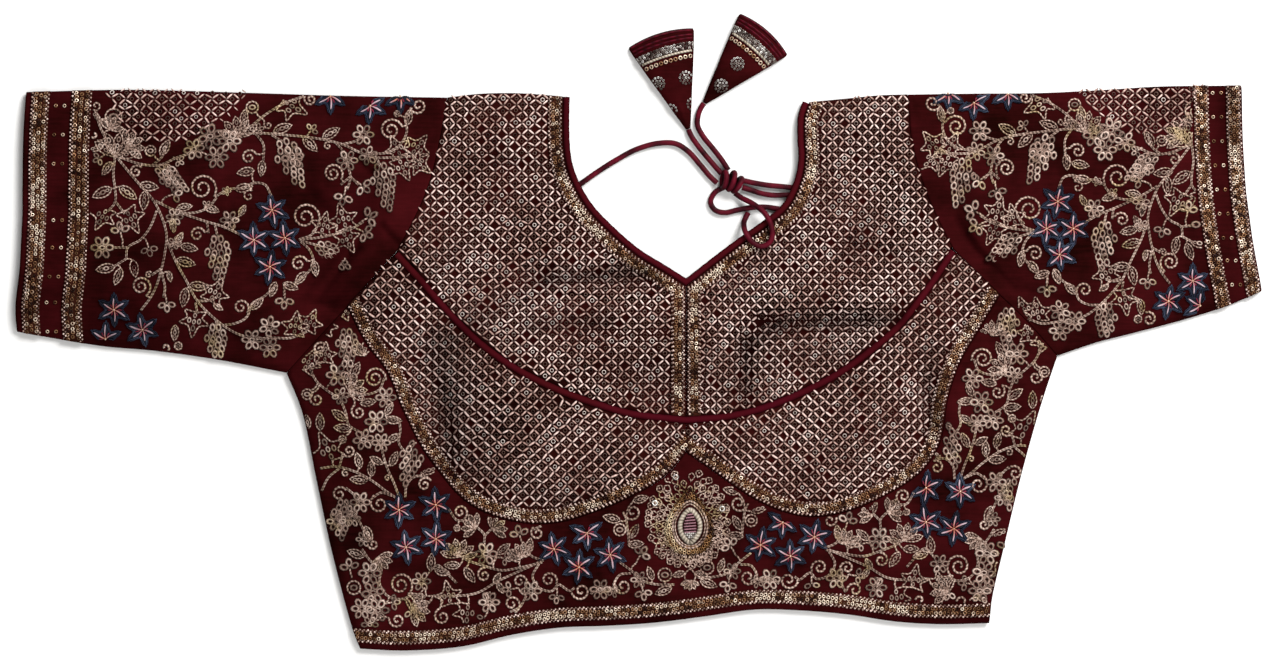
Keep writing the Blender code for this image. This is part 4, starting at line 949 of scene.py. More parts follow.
def small_shape(kind):
    """A shape one metre high to be scattered, with painted shade on its low points."""
    if kind in ROUND_SHAPES:
        profile, sides = ROUND_SHAPES[kind]
        vertices, faces = rims(profile, sides), ring_faces(sides, len(profile), wraps=True)
    elif kind == "stitch":      # a low grain with its ends sunk into the cloth
        vertices = [(share * wide, along, height if abs(share) < 0.5 else -0.2)
                    for along, wide, height in STITCH_ENDS for share in (-0.5, -0.2, 0.2, 0.5)]
        faces = ring_faces(len(STITCH_ENDS), 4)
    else:
        rings = [point for ring in BEAD_RINGS for point in rims([ring], BEAD_SIDES)]
        vertices = [(0.0, 0.0, 0.0), *rings, (0.0, 0.0, 1.0)]
        faces = []
        for k in range(BEAD_SIDES):
            a, b = 1 + k, 1 + (k + 1) % BEAD_SIDES
            c, d = a + BEAD_SIDES, b + BEAD_SIDES
            faces += [(0, b, a), (a, b, d, c), (c, d, 2 * BEAD_SIDES + 1)]
    vertices = np.array(vertices)
    return new_mesh_object(f"{kind}_shape", vertices / MM, faces, deep=1 - np.clip(vertices[:, 2], 0.0, 1.0))


def link_node(tree, kind, settings=None, inputs=None):
    """Adds a node with its settings; an input is a socket to link from, or a value."""
    made = tree.nodes.new(kind)
    for name, value in (settings or {}).items():
        setattr(made, name, value)
    for name, value in (inputs or {}).items():
        socket = made.inputs[name]
        if isinstance(value, bpy.types.NodeSocket):
            tree.links.new(value, socket)
        else:
            socket.default_value = value
    return made


SCATTER_INPUTS = {
    "Geometry": "Geometry", "Shape": "Object", "Width": "Float", "Length": "Float", "Height": "Float",
    "Tilt": "Float", "Seed": "Int", "Finish": "Material",
}


def scatter_tree():
    """Sets one shape on every point, turned by the point's own attributes and tilted a little."""
    name = "Scatter Small Pieces"
    if name in bpy.data.node_groups:
        return bpy.data.node_groups[name]
    tree = bpy.data.node_groups.new(name, "GeometryNodeTree")
    for label, kind in SCATTER_INPUTS.items():
        tree.interface.new_socket(name=label, in_out="INPUT", socket_type=f"NodeSocket{kind}")
    tree.interface.new_socket(name="Geometry", in_out="OUTPUT", socket_type="NodeSocketGeometry")
    given = link_node(tree, "NodeGroupInput").outputs
    pose = link_node(tree, "GeometryNodeInputNamedAttribute", {"data_type": "FLOAT_VECTOR"}, {"Name": "pose"})
    grow = link_node(tree, "GeometryNodeInputNamedAttribute", {"data_type": "FLOAT"}, {"Name": "grow"})
    size = link_node(tree, "ShaderNodeCombineXYZ", {}, {
        "X": given["Width"], "Y": given["Length"], "Z": given["Height"]})
    scale = link_node(tree, "ShaderNodeVectorMath", {"operation": "SCALE"}, {
        "Vector": size.outputs["Vector"], "Scale": grow.outputs["Attribute"]})
    low = link_node(tree, "ShaderNodeMath", {"operation": "MULTIPLY"}, {0: given["Tilt"], 1: -1.0})
    lowest = link_node(tree, "ShaderNodeCombineXYZ", {}, {"X": low.outputs[0], "Y": low.outputs[0]})
    highest = link_node(tree, "ShaderNodeCombineXYZ", {}, {"X": given["Tilt"], "Y": given["Tilt"]})
    rock = link_node(tree, "FunctionNodeRandomValue", {"data_type": "FLOAT_VECTOR"}, {
        "Min": lowest.outputs["Vector"], "Max": highest.outputs["Vector"], "Seed": given["Seed"]})
    steady = link_node(tree, "FunctionNodeEulerToRotation", {}, {0: pose.outputs["Attribute"]})
    rocked = link_node(tree, "FunctionNodeEulerToRotation", {}, {0: rock.outputs["Value"]})
    turning = link_node(tree, "FunctionNodeRotateRotation", {"rotation_space": "LOCAL"}, {
        0: steady.outputs[0], 1: rocked.outputs[0]})
    shape = link_node(tree, "GeometryNodeObjectInfo", {}, {"Object": given["Shape"]})
    placed = link_node(tree, "GeometryNodeInstanceOnPoints", {}, {
        "Points": given["Geometry"], "Instance": shape.outputs["Geometry"],
        "Rotation": turning.outputs[0], "Scale": scale.outputs["Vector"]})
    real = link_node(tree, "GeometryNodeRealizeInstances", {}, {"Geometry": placed.outputs["Instances"]})
    painted = link_node(tree, "GeometryNodeSetMaterial", {}, {
        "Geometry": real.outputs["Geometry"], "Material": given["Finish"]})
    link_node(tree, "NodeGroupOutput", {}, {"Geometry": painted.outputs["Geometry"]})
    return tree


SLOPE_STEP = 0.8       # to each side of a place, to find how its ground slopes


def poses_on(places, turns, ground):
    """Euler angles that lay a piece flat on the ground at each place, turned about its upright."""
    slopes = [(ground(places + step) - ground(places - step)) / (2 * SLOPE_STEP)
              for step in SLOPE_STEP * np.eye(2)]
    poses = []
    for turn, slope_x, slope_y in zip(turns, *slopes):
        tilt = Vector((0.0, 0.0, 1.0)).rotation_difference(Vector((-slope_x, -slope_y, 1.0)).normalized())
        poses.append((tilt.to_matrix() @ Matrix.Rotation(turn, 3, "Z")).to_euler())
    return np.array(poses)


def scatter(name, kind, slot, finish, places, size, turns=0.0, grow=1.0, shade=0.5, tilt=0.0, seed=1,
            ground=cloth_top, lift=0.0):
    """One mesh of many small shapes of a kind; size is their width, length and height in mm."""
    places = np.asarray(places, float)
    turns, grow, shade = (np.broadcast_to(values, len(places)) for values in (turns, grow, shade))
    mesh = bpy.data.meshes.new(name)
    mesh.from_pydata((np.column_stack([places, ground(places) + lift]) * MM).tolist(), [], [])
    keep_values(mesh, "pose", poses_on(places, turns, ground), "FLOAT_VECTOR")
    keep_values(mesh, "grow", grow)
    keep_values(mesh, "shade", shade)
    holder = add_object(name, mesh)
    shape, tree = small_shape(kind), scatter_tree()
    modifier = holder.modifiers.new("scatter", "NODES")
    modifier.node_group = tree
    sockets = {item.name: item.identifier for item in tree.interface.items_tree if item.in_out == "INPUT"}
    values = {"Shape": shape, "Width": size[0] * MM, "Length": size[1] * MM, "Height": size[2] * MM,
              "Tilt": tilt, "Seed": seed, "Finish": finish}
    for label, value in values.items():
        modifier[sockets[label]] = value
    graph = bpy.context.evaluated_depsgraph_get()
    result = bpy.data.meshes.new_from_object(
        holder.evaluated_get(graph), preserve_all_data_layers=True, depsgraph=graph)
    holder.modifiers.remove(modifier)
    holder.data = result
    bpy.data.objects.remove(shape)
    for spare in ("pose", "grow"):
        if spare in result.attributes:
            result.attributes.remove(result.attributes[spare])
    result.shade_smooth()
    return finish_piece(holder, slot)


# Embroidery

LEAF_WIDE = 0.23
LEAF_LOOPS = [(-0.27, 0.2), (-0.04, 0.29), (0.2, 0.23)]      # place along, diameter
MAPLE_OUTLINE = [  # along its axis, to one side, of a leaf one long
    (0.0, 0.06), (-0.04, 0.42), (0.2, 0.3), (0.44, 0.6), (0.56, 0.24), (1.04, 0.02),
    (0.58, -0.22), (0.5, -0.58), (0.24, -0.3), (-0.02, -0.44), (0.0, -0.06),
]
MAPLE_LOOPS = [  # along, to one side, diameter
    (0.14, 0.0, 0.2), (0.36, 0.2, 0.22), (0.36, -0.2, 0.22), (0.4, 0.0, 0.2), (0.66, 0.0, 0.24),
]
GRAPE_ROWS = [  # along, loops in the row
    (0.06, 2), (0.19, 3), (0.32, 4), (0.45, 3), (0.58, 3), (0.71, 2), (0.83, 2), (0.95, 1),
]
GRAPE_APART, GRAPE_STAGGER, GRAPE_BOW = 0.145, 0.02, 0.02      # shares of its length
GRAPE_SIZE, LARGEST_GRAPE = 0.19, 5.0
FAN_LEAVES = (-64, -32, 0, 32, 64)      # degrees
FAN_LOOPS = [(0.72, 0.22), (0.46, 0.18)]
TREFOIL_LEAVES = (-78, -6, 66)
CURL_TURNS = 1.4
STALK_REACH = 15.0       # sprigs nearer to a stem than this are joined to it
STALK_FROM = {"leaf": -0.5, "curl": 1.0}      # where a stalk meets the sprig, along it
THINNER = 0.85           # width of the cord round a leaf, against a plain one


def facing(angle):
    """One step in this direction, in degrees."""
    return np.array([math.cos(math.radians(angle)), math.sin(math.radians(angle))])


def turned(local, x, y, angle, size, hand=1):
    """Local points, +X to the tip, placed on the layout; hand is -1 for a mirrored sprig."""
    local = np.asarray(local, float).reshape(-1, 2) * size
    c, s = facing(angle)
    across = hand * local[:, 1]
    return np.column_stack([x + c * local[:, 0] - s * across, y + s * local[:, 0] + c * across])


def ring_points(x, y, radius, count):
    return np.column_stack([x + radius * np.cos(circle(count)), y + radius * np.sin(circle(count))])


def leaf_outline(wide, lean=1.0):
    """A closed pointed leaf, one long from its root; lean moves its widest place to the tip."""
    t = np.linspace(0.0, 1.0, 9)
    side = wide * np.sin(math.pi * t ** lean) ** 0.8
    return np.vstack([np.column_stack([t, side]), np.column_stack([t, -side])[-2:0:-1]])


class Embroidery:
    """Vines, leaves, flowers and grapes of one part of the blouse, gathered before they are sewn.

    Every kind of sprig takes its place, its angle in degrees, its size and its hand.
    """

    def __init__(self, room, sizes):
        self.cords = LaidThread(cloth_top, room)
        self.loops = []      # x, y, diameter, turn
        self.stems, self.sizes = [], sizes
        self.thin = sizes.cord_width / MM

    def cord(self, path, width, closed=False, section=CORD_SECTION):
        self.cords.lay(path, width, self.sizes.cord_height / MM, section, closed)

    def loop(self, along, side, diameter, *place):
        """A loop at this place on a sprig, lying along it."""
        (x, y), = turned([(along, side)], *place)
        self.loops.append((x, y, diameter, math.radians(place[2] - 90)))

    def stem(self, points):
        line = smooth_line(points, step=1.5)
        self.stems.append(line)
        self.cord(line, self.sizes.stem_width / MM, section=STEM_SECTION)

    def leaf(self, *place):
        outline = leaf_outline(LEAF_WIDE, 0.85) - (0.5, 0.0)
        self.cord(turned(outline, *place), self.thin * THINNER, closed=True)
        for along, diameter in LEAF_LOOPS:
            self.loop(along, 0.0, diameter * place[3], *place)

    def flower(self, x, y, angle, size, hand):
        petals = 6 if size > 8 else 5
        for k in range(petals):
            self.loop(0.34, 0.0, 0.43 * size, x, y, angle + 360 * k / petals, size)
        self.loop(0.0, 0.0, 0.3 * size, x, y, 0, size)

    def grape(self, x, y, angle, size, hand):
        for k, (along, count) in enumerate(GRAPE_ROWS):
            for j in range(count):
                side = (j - (count - 1) / 2) * GRAPE_APART + (GRAPE_STAGGER if k % 2 else -GRAPE_STAGGER)
                bow = GRAPE_BOW * (count - 1 - abs(2 * j - count + 1))
                (px, py), = turned([(along + bow, side)], x, y, angle, size, hand)
                diameter = min(GRAPE_SIZE * size, LARGEST_GRAPE)
                self.loop(0.0, 0.0, diameter, px, py, angle + 60 * side * hand, size)

    def trefoil(self, x, y, angle, size, hand):
        self.cord(turned([(0.0, 0.0), (0.25, 0.02), (0.5, 0.0)], x, y, angle, size, hand), self.thin)
        (x, y), = turned([(0.52, 0.0)], x, y, angle, size, hand)
        for spread in TREFOIL_LEAVES:
            self.loop(0.29, 0.0, 0.44 * size, x, y, angle + spread * hand, size)

    def maple(self, *place):
        path = smooth_line(turned(MAPLE_OUTLINE, *place), step=1.6)
        self.cord(path, self.thin * 0.9, closed=True)
        for along, side, diameter in MAPLE_LOOPS:
            self.loop(along, side, diameter * place[3], *place)

    def button(self, x, y, angle, size, hand):
        radius = 0.42 * size
        self.cord(ring_points(x, y, radius, max(9, int(3.4 * radius))), self.thin, closed=True)
        self.loop(0.0, 0.0, 0.5 * size, x, y, 0, size)

    def fan(self, x, y, angle, size, hand):
        for spread in FAN_LEAVES:
            place = x, y, angle + spread, size * 0.95, hand
            self.cord(turned(leaf_outline(0.18, 1.3), *place), self.thin * THINNER, closed=True)
            for along, diameter in FAN_LOOPS:
                self.loop(along, 0.0, diameter * size, *place)

    def curl(self, x, y, angle, size, hand):
        turns = CURL_TURNS + (0.4 if size > 6.4 else 0.0) - (0.2 if size < 4.0 else 0.0)
        t = np.linspace(0.0, 1.0, int(12 * turns) + 1)
        radius = size * (1.0 - 0.84 * t ** 0.85)
        turn = math.radians(angle) + hand * 2 * math.pi * turns * t
        path = np.column_stack([x + radius * np.cos(turn), y + radius * np.sin(turn)])
        self.cord(path, self.thin * (1.25 if size > 4 else 1.0))

    def stalk(self, kind, x, y, angle, size, hand):
        """A thin cord from the nearest stem to a sprig."""
        root = np.array([x, y]) + STALK_FROM.get(kind, 0.0) * size * facing(angle)
        stems = np.vstack(self.stems)
        near = stems[np.argmin(np.linalg.norm(stems - root, axis=1))]
        far = np.linalg.norm(root - near)
        if kind in ("flower", "button"):
            root = root + (near - root) * min(0.45 * size / max(far, 0.1), 1.0)
            far = np.linalg.norm(root - near)
        if 1.5 < far < STALK_REACH:
            bow = np.array([near[1] - root[1], root[0] - near[0]]) * 0.12 * hand
            self.cord(smooth_line([near, (near + root) / 2 + bow, root], step=1.6), self.thin)

    def sew(self, stems, sprigs, move=None):
        """Lays every stem and sprig of the tables; move mirrors them to the other half."""
        for points in stems:
            self.stem(move(points) if move else points)
        for kind, x, y, angle, size in sprigs:
            hand = 1
            if move:
                (x, y), angle, hand = move([(x, y)])[0], 180 - angle, -1
            self.stalk(kind, x, y, angle, size, hand)
            getattr(self, kind)(x, y, angle, size * self.sizes.sprig_scale, hand)

    def finish(self, tag, finishes):
        loops = np.array(self.loops)
        loops = loops[self.cords.room(loops[:, :2]) > 0.45 * loops[:, 2]]
        noise = np.random.default_rng(len(loops))
        return [self.cords.finish(f"vines_{tag}", finishes["zari"]), scatter(
            f"loop_stitches_{tag}", "loop", "zari_applique", finishes["zari_loops"], loops[:, :2],
            (0.9, 1.26, self.sizes.cord_height / MM / 4.2), grow=loops[:, 2], turns=loops[:, 3],
            shade=noise.uniform(0.2, 0.8, len(loops)), tilt=0.06, lift=0.05)]


# Star flowers: six pointed petals in outline and straight stitches, with a ray on each

PETAL_SECTIONS = [  # along, width
    (0.1, 0.3), (0.26, 0.76), (0.44, 1.0), (0.64, 0.78), (0.84, 0.36), (1.0, 0.03),
]
PETAL_ACROSS = [(-1.0, -0.3), (-0.5, 0.7), (0.0, 0.9), (0.5, 0.7), (1.0, -0.3)]      # share across, share up
THREAD_SECTION = [(-0.5, -0.3), (0.0, 1.0), (0.5, -0.3)]
PETAL_THREADS = [  # from along, across, to along, across, in petal lengths, and its width in mm
    (0.34, 0.2, 1.0, 0.0, 0.75), (0.5, 0.1, 0.94, 0.03, 0.5), (0.3, 0.25, 0.6, 0.18, 0.5),
    (0.6, 0.19, 0.9, 0.1, 0.4), (0.16, 0.11, 0.36, 0.2, 0.4),
]
RAY_ALONG = np.array([0.03, 0.2, 0.42, 0.6, 0.7])
RAY_WIDE = np.array([0.5, 0.8, 1.0, 0.85, 0.3])


class StarFlowers:
    """Star flowers of one part of the blouse."""

    def __init__(self, room):
        self.petals, self.threads, self.rays, self.strokes = (
            LaidThread(cloth_top, room, 0.4) for _ in range(4))
        self.hearts = []

    def add(self, x, y, turn, sizes):
        self.hearts.append((x, y))
        noise = np.random.default_rng(int(abs(x * y)))
        for k in range(6):
            angle = 90 + turn + 60 * k + noise.normal(0, 3)
            reach = sizes.star_reach / MM * noise.uniform(0.93, 1.07)
            tip = turned([(0.0, 0.0), (1.0, 0.0)], x, y, angle, reach)
            if not self.petals.fits(spaced(tip, 4)[1:]).all():
                continue
            self.petal(tip, sizes.petal_width / MM)
            for side in (-1, 1):
                for a, b, c, d, width in PETAL_THREADS:
                    path = [(a, b * side), ((a + c) / 2, (b + d) * 0.56 * side), (c, d * side)]
                    path = spaced(turned(path, x, y, angle, reach), 5)
                    self.threads.lay(path, width, 0.75, THREAD_SECTION, lift=0.45)
            wavy = np.column_stack([RAY_ALONG * noise.uniform(0.9, 1.1), 0.03 * np.sin(6 * RAY_ALONG)])
            width = RAY_WIDE * sizes.ray_width / MM * noise.uniform(0.8, 1.1)
            self.rays.lay(turned(wavy, x, y, angle + 4, reach), width, 0.9, lift=0.9)
            stroke = [(0.16, 0.0), (0.26, 0.02), (noise.uniform(0.3, 0.45), 0.0)]
            self.strokes.lay(turned(stroke, x, y, angle + 31, reach), 1.2, 0.7, THREAD_SECTION, lift=0.7)

    def petal(self, axis, width):
        """One petal as a low ridged leaf, its rings running from the flower's middle to the tip."""
        reach = np.linalg.norm(axis[1] - axis[0])
        ahead = (axis[1] - axis[0]) / reach
        across = np.array([-ahead[1], ahead[0]])
        sides, ups = np.array(PETAL_ACROSS).T
        rings, uvs = [], []
        for along, wide in PETAL_SECTIONS:
            flat = axis[0] + ahead * reach * along + np.outer(sides * wide * width / 2, across)
            up = ups * (0.35 + 0.65 * wide)
            rings.append(np.column_stack([flat, cloth_top(flat) + 0.2 + 0.6 * up]))
            uvs += [(k / (len(PETAL_ACROSS) - 1), along * reach) for k in range(len(PETAL_ACROSS))]
        self.petals.skin(np.stack(rings), uvs, PETAL_ACROSS)

    def finish(self, tag, finishes):
        return [self.petals.finish(f"star_petals_{tag}", finishes["petal"]),
                self.threads.finish(f"star_threads_{tag}", finishes["petal_thread"]),
                self.rays.finish(f"star_rays_{tag}", finishes["ray"]),
                self.strokes.finish(f"star_strokes_{tag}", finishes["crimson"]),
                scatter(f"star_hearts_{tag}", "bead", "zari_applique", finishes["sequin"], self.hearts,
                        (1.5, 1.5, 1.0), shade=0.7, lift=1.0)]


# Lattice work

LATTICE_ACROSS = {  # width of a diamond against the middle one
    "sleeve": 1.13, "upper_cup_left": 1.04, "lower_cup_left": 1.04, "upper_cup_right": 0.94,
    "lower_cup_right": 1.0,
}
LATTICE_DIM = {"sleeve": 0.12, "lower": 0.07}       # how much duller its stitches are
LATTICE_DRIFT = 0.9
RINGS_KEPT = 0.9         # share of the spaces that have a ring
BRIGHT_RINGS = 0.14      # share of the rings that catch the light


def wander(points):
    """A slow drift of the places, so that rows sewn by hand aren't quite straight."""
    x, y = points.T
    return points + LATTICE_DRIFT * np.column_stack([
        np.sin(x / 31.0 + y / 47.0) + 0.5 * np.sin(y / 13.0),
        np.sin(y / 29.0 - x / 41.0) + 0.5 * np.sin(x / 15.0)])


def lattice_on(tag, outline, sizes, finishes, fan_x=None, seed=1):
    """Crossed stitches on the diagonal with a small ring in most of the spaces."""
    room = room_in(outline)
    wide = LATTICE_ACROSS[tag if "cup" in tag else "sleeve"] * sizes.lattice_across / MM
    diagonals = np.array([wide, sizes.lattice_along / MM]) / 2 * [[1, 1], [-1, 1]]
    spacing = np.linalg.norm(diagonals[0])
    low, high = outline.min(0), outline.max(0)
    reach = int(np.linalg.norm(high - low) / spacing) + 2
    i, j = (k.ravel() for k in np.meshgrid(np.arange(-reach, reach), np.arange(-reach, reach)))
    nodes = (low + high) / 2 + np.column_stack([i, j]) @ diagonals
    places = wander(np.vstack([nodes + way / 2 for way in diagonals]))
    turns = np.repeat([math.atan2(y, x) - math.pi / 2 for x, y in diagonals], len(nodes))
    kept = room(places) > -0.2
    places, turns = places[kept], turns[kept]
    count = len(places)
    noise = np.random.default_rng(seed)
    places = places + noise.normal(0, 0.12, places.shape)
    glow = (0.64 + 0.12 * np.sin(places[:, 0] / 11.0 + 2.0 * np.sin(places[:, 1] / 17.0))
            + noise.normal(0, 0.1, count) - LATTICE_DIM.get(tag.split("_")[0], 0.0))
    grow = noise.uniform(0.93, 1.07, count) * np.clip((room(places) + 2.2) / 3.4, 0.5, 1.0)
    # painted light on the threads that lie over the others, painted shade on those under them
    if fan_x is not None:       # the threads that run up to the crown lie over the others
        outer = np.where(turns < -0.1, places[:, 0] > fan_x, places[:, 0] < fan_x)
        grow = grow * np.where(outer, 1.12, 0.92)
        glow += np.where(outer, 0.08, -0.1)
    stitches = scatter(
        f"lattice_stitches_{tag}", "stitch", "lattice_work", finishes["lattice"], places,
        (sizes.lattice_stitch / MM, spacing * 0.92, 1.1), turns=turns + noise.normal(0, 0.1, count),
        grow=grow, shade=glow, lift=-0.05)
    spaces = wander(nodes + diagonals.sum(0) / 2)
    spaces = spaces[room(spaces) > 1.0]
    spaces = spaces[noise.uniform(0, 1, len(spaces)) < RINGS_KEPT]
    count = len(spaces)
    spaces = spaces + noise.normal(0, 0.2, spaces.shape)
    patch = 0.38 + 0.14 * np.sin(spaces[:, 0] / 17.0) * np.sin(spaces[:, 1] / 13.0)
    patch += 0.5 * (noise.uniform(0, 1, count) > 1 - BRIGHT_RINGS)
    diameter = sizes.ring_diameter / MM
    return [stitches, scatter(
        f"lattice_rings_{tag}", "ring", "lattice_work", finishes["ring"], spaces, (diameter, diameter, 0.9),
        turns=noise.uniform(0, 6, count), grow=noise.uniform(0.85, 1.1, count),
        shade=patch + noise.normal(0, 0.1, count), tilt=0.16, seed=seed)]


# Borders of sequins between rows of beads

BEAD_ROWS = (0.04, 0.14, 0.86, 0.96)    # shares of the border's width, a zigzag at each edge
STRIP_THICK = 0.35
SEQUIN_THICK = 0.6


def along_band(lines, share, pitch, start=0.0):
    """Places at a pitch along a line that lies at this share between two others, and their turns."""
    path = (1 - share) * lines[0] + share * lines[1]
    total = lengths_along(path)[-1]
    far = np.arange(pitch / 2 + start, total - pitch / 3, pitch)
    before, after = (at_fractions(path, np.clip(far + step, 0, total) / total) for step in (-0.5, 0.5))
    return at_fractions(path, far / total), np.arctan2(*(after - before).T[::-1])


def rows_along(lines, shares, pitch):
    """Staggered rows at these shares of a band: all their places and turns."""
    rows = [along_band(lines, share, pitch, (k % 2) * pitch / 2) for k, share in enumerate(shares)]
    return np.vstack([places for places, _ in rows]), np.concatenate([turns for _, turns in rows])


def glint(places, noise):
    """How bright each sequin looks: an uneven painted reflection, with painted highlights in the patches that
    catch the light.
    """
    x, y = places.T
    tone = 0.42 + 0.16 * np.sin(x / 1.9 + 1.3 * np.sin(y / 5.0)) * np.sin(y / 1.7 + 1.1 * np.sin(x / 6.0))
    tone += noise.normal(0, 0.27, len(places))
    for gx, gy, reach, strength in GLINTS:
        tone += strength * 0.9 * np.exp(-((x - gx) ** 2 + (y - gy) ** 2) / reach ** 2)
    return np.clip(tone, 0.0, 1.0)


def sequin_border(name, lines, sizes, finishes, rows, seed):
    """A strip of tissue with sequins and two bead rows, in place of the border's solid."""
    a, b = lines
    strip = shell_from_lines(
        f"{name}_strip", finer([a, (a + b) / 2, b]), lambda p: cloth_top(p) + GAP,
        lambda p: cloth_top(p) + GAP + STRIP_THICK, finishes["tissue"])
    finish_piece(strip, "sequin_border", name)
    noise = np.random.default_rng(seed)
    places, turns = rows_along(lines, rows, sizes.sequin_pitch / MM)
    places = places + noise.normal(0, 0.2, places.shape)
    diameter = sizes.sequin_diameter / MM
    sequins = scatter(
        f"{name}_sequins", "sequin", "sequin_border", finishes["sequin"], places,
        (diameter, diameter, SEQUIN_THICK), turns=turns, grow=noise.uniform(0.85, 1.12, len(places)),
        shade=glint(places, noise), tilt=0.3, seed=seed, lift=GAP + 0.5)
    spots, _ = rows_along(lines, BEAD_ROWS, sizes.bead_pitch / MM)
    diameter = sizes.bead_diameter / MM
    beads = scatter(
        f"{name}_beads", "bead", "sequin_border", finishes["bead"], spots, (diameter, diameter, 1.2),
        grow=noise.uniform(0.8, 1.15, len(spots)), shade=noise.uniform(0, 1, len(spots)), lift=GAP + 0.3)
    return [strip, sequins, beads]


# Finishes

TONES = {  # what wears them, then the tones from the darkest to the lightest
    # the silks' lighter tones are mostly painted sheen, which art_silk lays in large patches; slubs move the
    # tone a little
    "silk": ("Maroon silk, dull slubs to bright ones", "#150403", "#390b0e"),
    "back": ("Maroon silk of the back, which lies in shade", "#150403", "#2c0609"),
    "piping": ("Maroon piping", "#390b0e", "#420b15"),
    # painted shade: the silk under the lattice is darkened where its stitches shade it
    "ground": ("Silk under the lattice", "#130504", "#2e0d0b"),
    "tissue": ("Tissue under the sequins, dark threads to metal ones", "#180705", "#442218"),
    "thread": ("Lattice thread, dull stitches to bright ones", "#4a2c24", "#b08c80", "#f8dcd2"),
    "ring": ("Small rings of the lattice", "#1a0a08", "#684a3e", "#eadcd2"),
    "zari": ("Zari cord, between its turns to its lit turns", "#2a1a14", "#8c7164", "#d2bbad"),
    "gilt": ("Zari cord where it is more golden", "#2a1b10", "#8c7454", "#ccb593"),
    "bead": ("Glass beads of the borders", "#4a322a", "#9c7c6e", "#ecd2c6"),
    # a sequin's tone is its painted reflection: dark where it turns from the light, bright where it catches
    # it
    "sequin": ("Antique gold sequins, tarnished ones to bright ones", "#240d08", "#9a6d4a", "#ffead2"),
    "gold": ("Sequins of the centre motif", "#240c08", "#9c7044", "#f8deb6"),
    "silver": ("Silver sequins", "#3a2c28", "#8c8078", "#f8f4ee"),
    "petal": ("Navy floss, between the stitches to their tops", "#07080f", "#0f121e", "#1e2334"),
    "slate": ("Slate blue floss of the star flowers", "#10121c", "#2a3146", "#626e86"),
    "ray": ("Rays of a star flower, from its middle out", "#a8482c", "#c08070", "#ac8690", "#bfa9b2"),
    "crimson": ("Short stitches between the rays", "#4a0a1a", "#9c2c46"),
    "plum": ("Plum floss of the centre motif", "#401820", "#ac7e88"),
    "cord": ("Dori, between its turns to their tops", "#22050b", "#5c0d1e"),
    "cream": ("Cream cord of the centre motif and the tassels", "#443b30", "#9a8e7e", "#cabeae"),
    "floor": ("Matt paper under the blouse", "#f4f3f1"),
}


def linear(hex_code):
    """An sRGB colour such as "#4a1519" as linear red, green, blue and alpha."""
    values = [int(hex_code[k:k + 2], 16) / 255 for k in (1, 3, 5)]
    return (*(v / 12.92 if v <= 0.04045 else ((v + 0.055) / 1.055) ** 2.4 for v in values), 1.0)


def bands(period):
    """Scale of a wave texture whose bands repeat at this distance."""
    return 2 * math.pi / (20 * period)


def new_finish(name, roughness, **sockets):
    """A material with its shader; uniform values sit on the shader's own sockets."""
    material = bpy.data.materials.new(name)
    material.use_nodes = True
    shader = material.node_tree.nodes["Principled BSDF"]
    shader.inputs["Roughness"].default_value = roughness
    for socket, value in sockets.items():
        shader.inputs[socket.replace("_", " ")].default_value = value
    return material, material.node_tree, shader


DEEP_DIMS = 0.82       # share of its light that the deepest place loses
MIX_FACTOR, MIX_A, MIX_B, MIX_RESULT = 0, 6, 7, 2       # sockets of a colour mix
TIMES_PLUS = {"operation": "MULTIPLY_ADD"}
CLAMPED = {"operation": "MULTIPLY_ADD", "use_clamp": True}


def paint(tree, shader, tone, colours, others=None, relief=None):
    """Gives the shader its colours along a tone from 0 to 1, dimmed by the painted shade kept on each point.

    Others are colours that take over in patches; relief is a height, its strength and its depth in mm.
    """
    shades = []
    for steps in filter(None, (colours, others)):
        ramp = link_node(tree, "ShaderNodeValToRGB", {}, {"Fac": tone})
        stops = ramp.color_ramp.elements
        stops[0].color, stops[1].color = steps[0], steps[-1]
        for k, step in enumerate(steps[1:-1], start=1):
            stops.new(k / (len(steps) - 1)).color = step
        shades.append(ramp.outputs["Color"])
    shown = shades[0]
    if others:
        place = link_node(tree, "ShaderNodeTexCoord").outputs["Object"]
        patch = link_node(tree, "ShaderNodeTexNoise", {}, {"Vector": place, "Scale": 70.0, "Detail": 2.0})
        share = link_node(tree, "ShaderNodeMapRange", {}, {
            "Value": patch.outputs["Fac"], "From Min": 0.54, "From Max": 0.7})
        shown = link_node(tree, "ShaderNodeMix", {"data_type": "RGBA"}, {
            MIX_FACTOR: share.outputs["Result"], MIX_A: shades[0], MIX_B: shades[1]}).outputs[MIX_RESULT]
    # the painted shade kept on each point dims the colour
    deep = link_node(tree, "ShaderNodeAttribute", {"attribute_name": "deep"}).outputs["Fac"]
    left = link_node(tree, "ShaderNodeMath", TIMES_PLUS, {0: deep, 1: -DEEP_DIMS, 2: 1.0})
    dimmed = link_node(tree, "ShaderNodeVectorMath", {"operation": "SCALE"}, {
        "Vector": shown, "Scale": left.outputs[0]})
    tree.links.new(dimmed.outputs["Vector"], shader.inputs["Base Color"])
    if relief:
        height, strength, depth = relief
        bump = link_node(tree, "ShaderNodeBump", {}, {
            "Strength": strength, "Distance": depth * MM, "Height": height})
        tree.links.new(bump.outputs["Normal"], shader.inputs["Normal"])


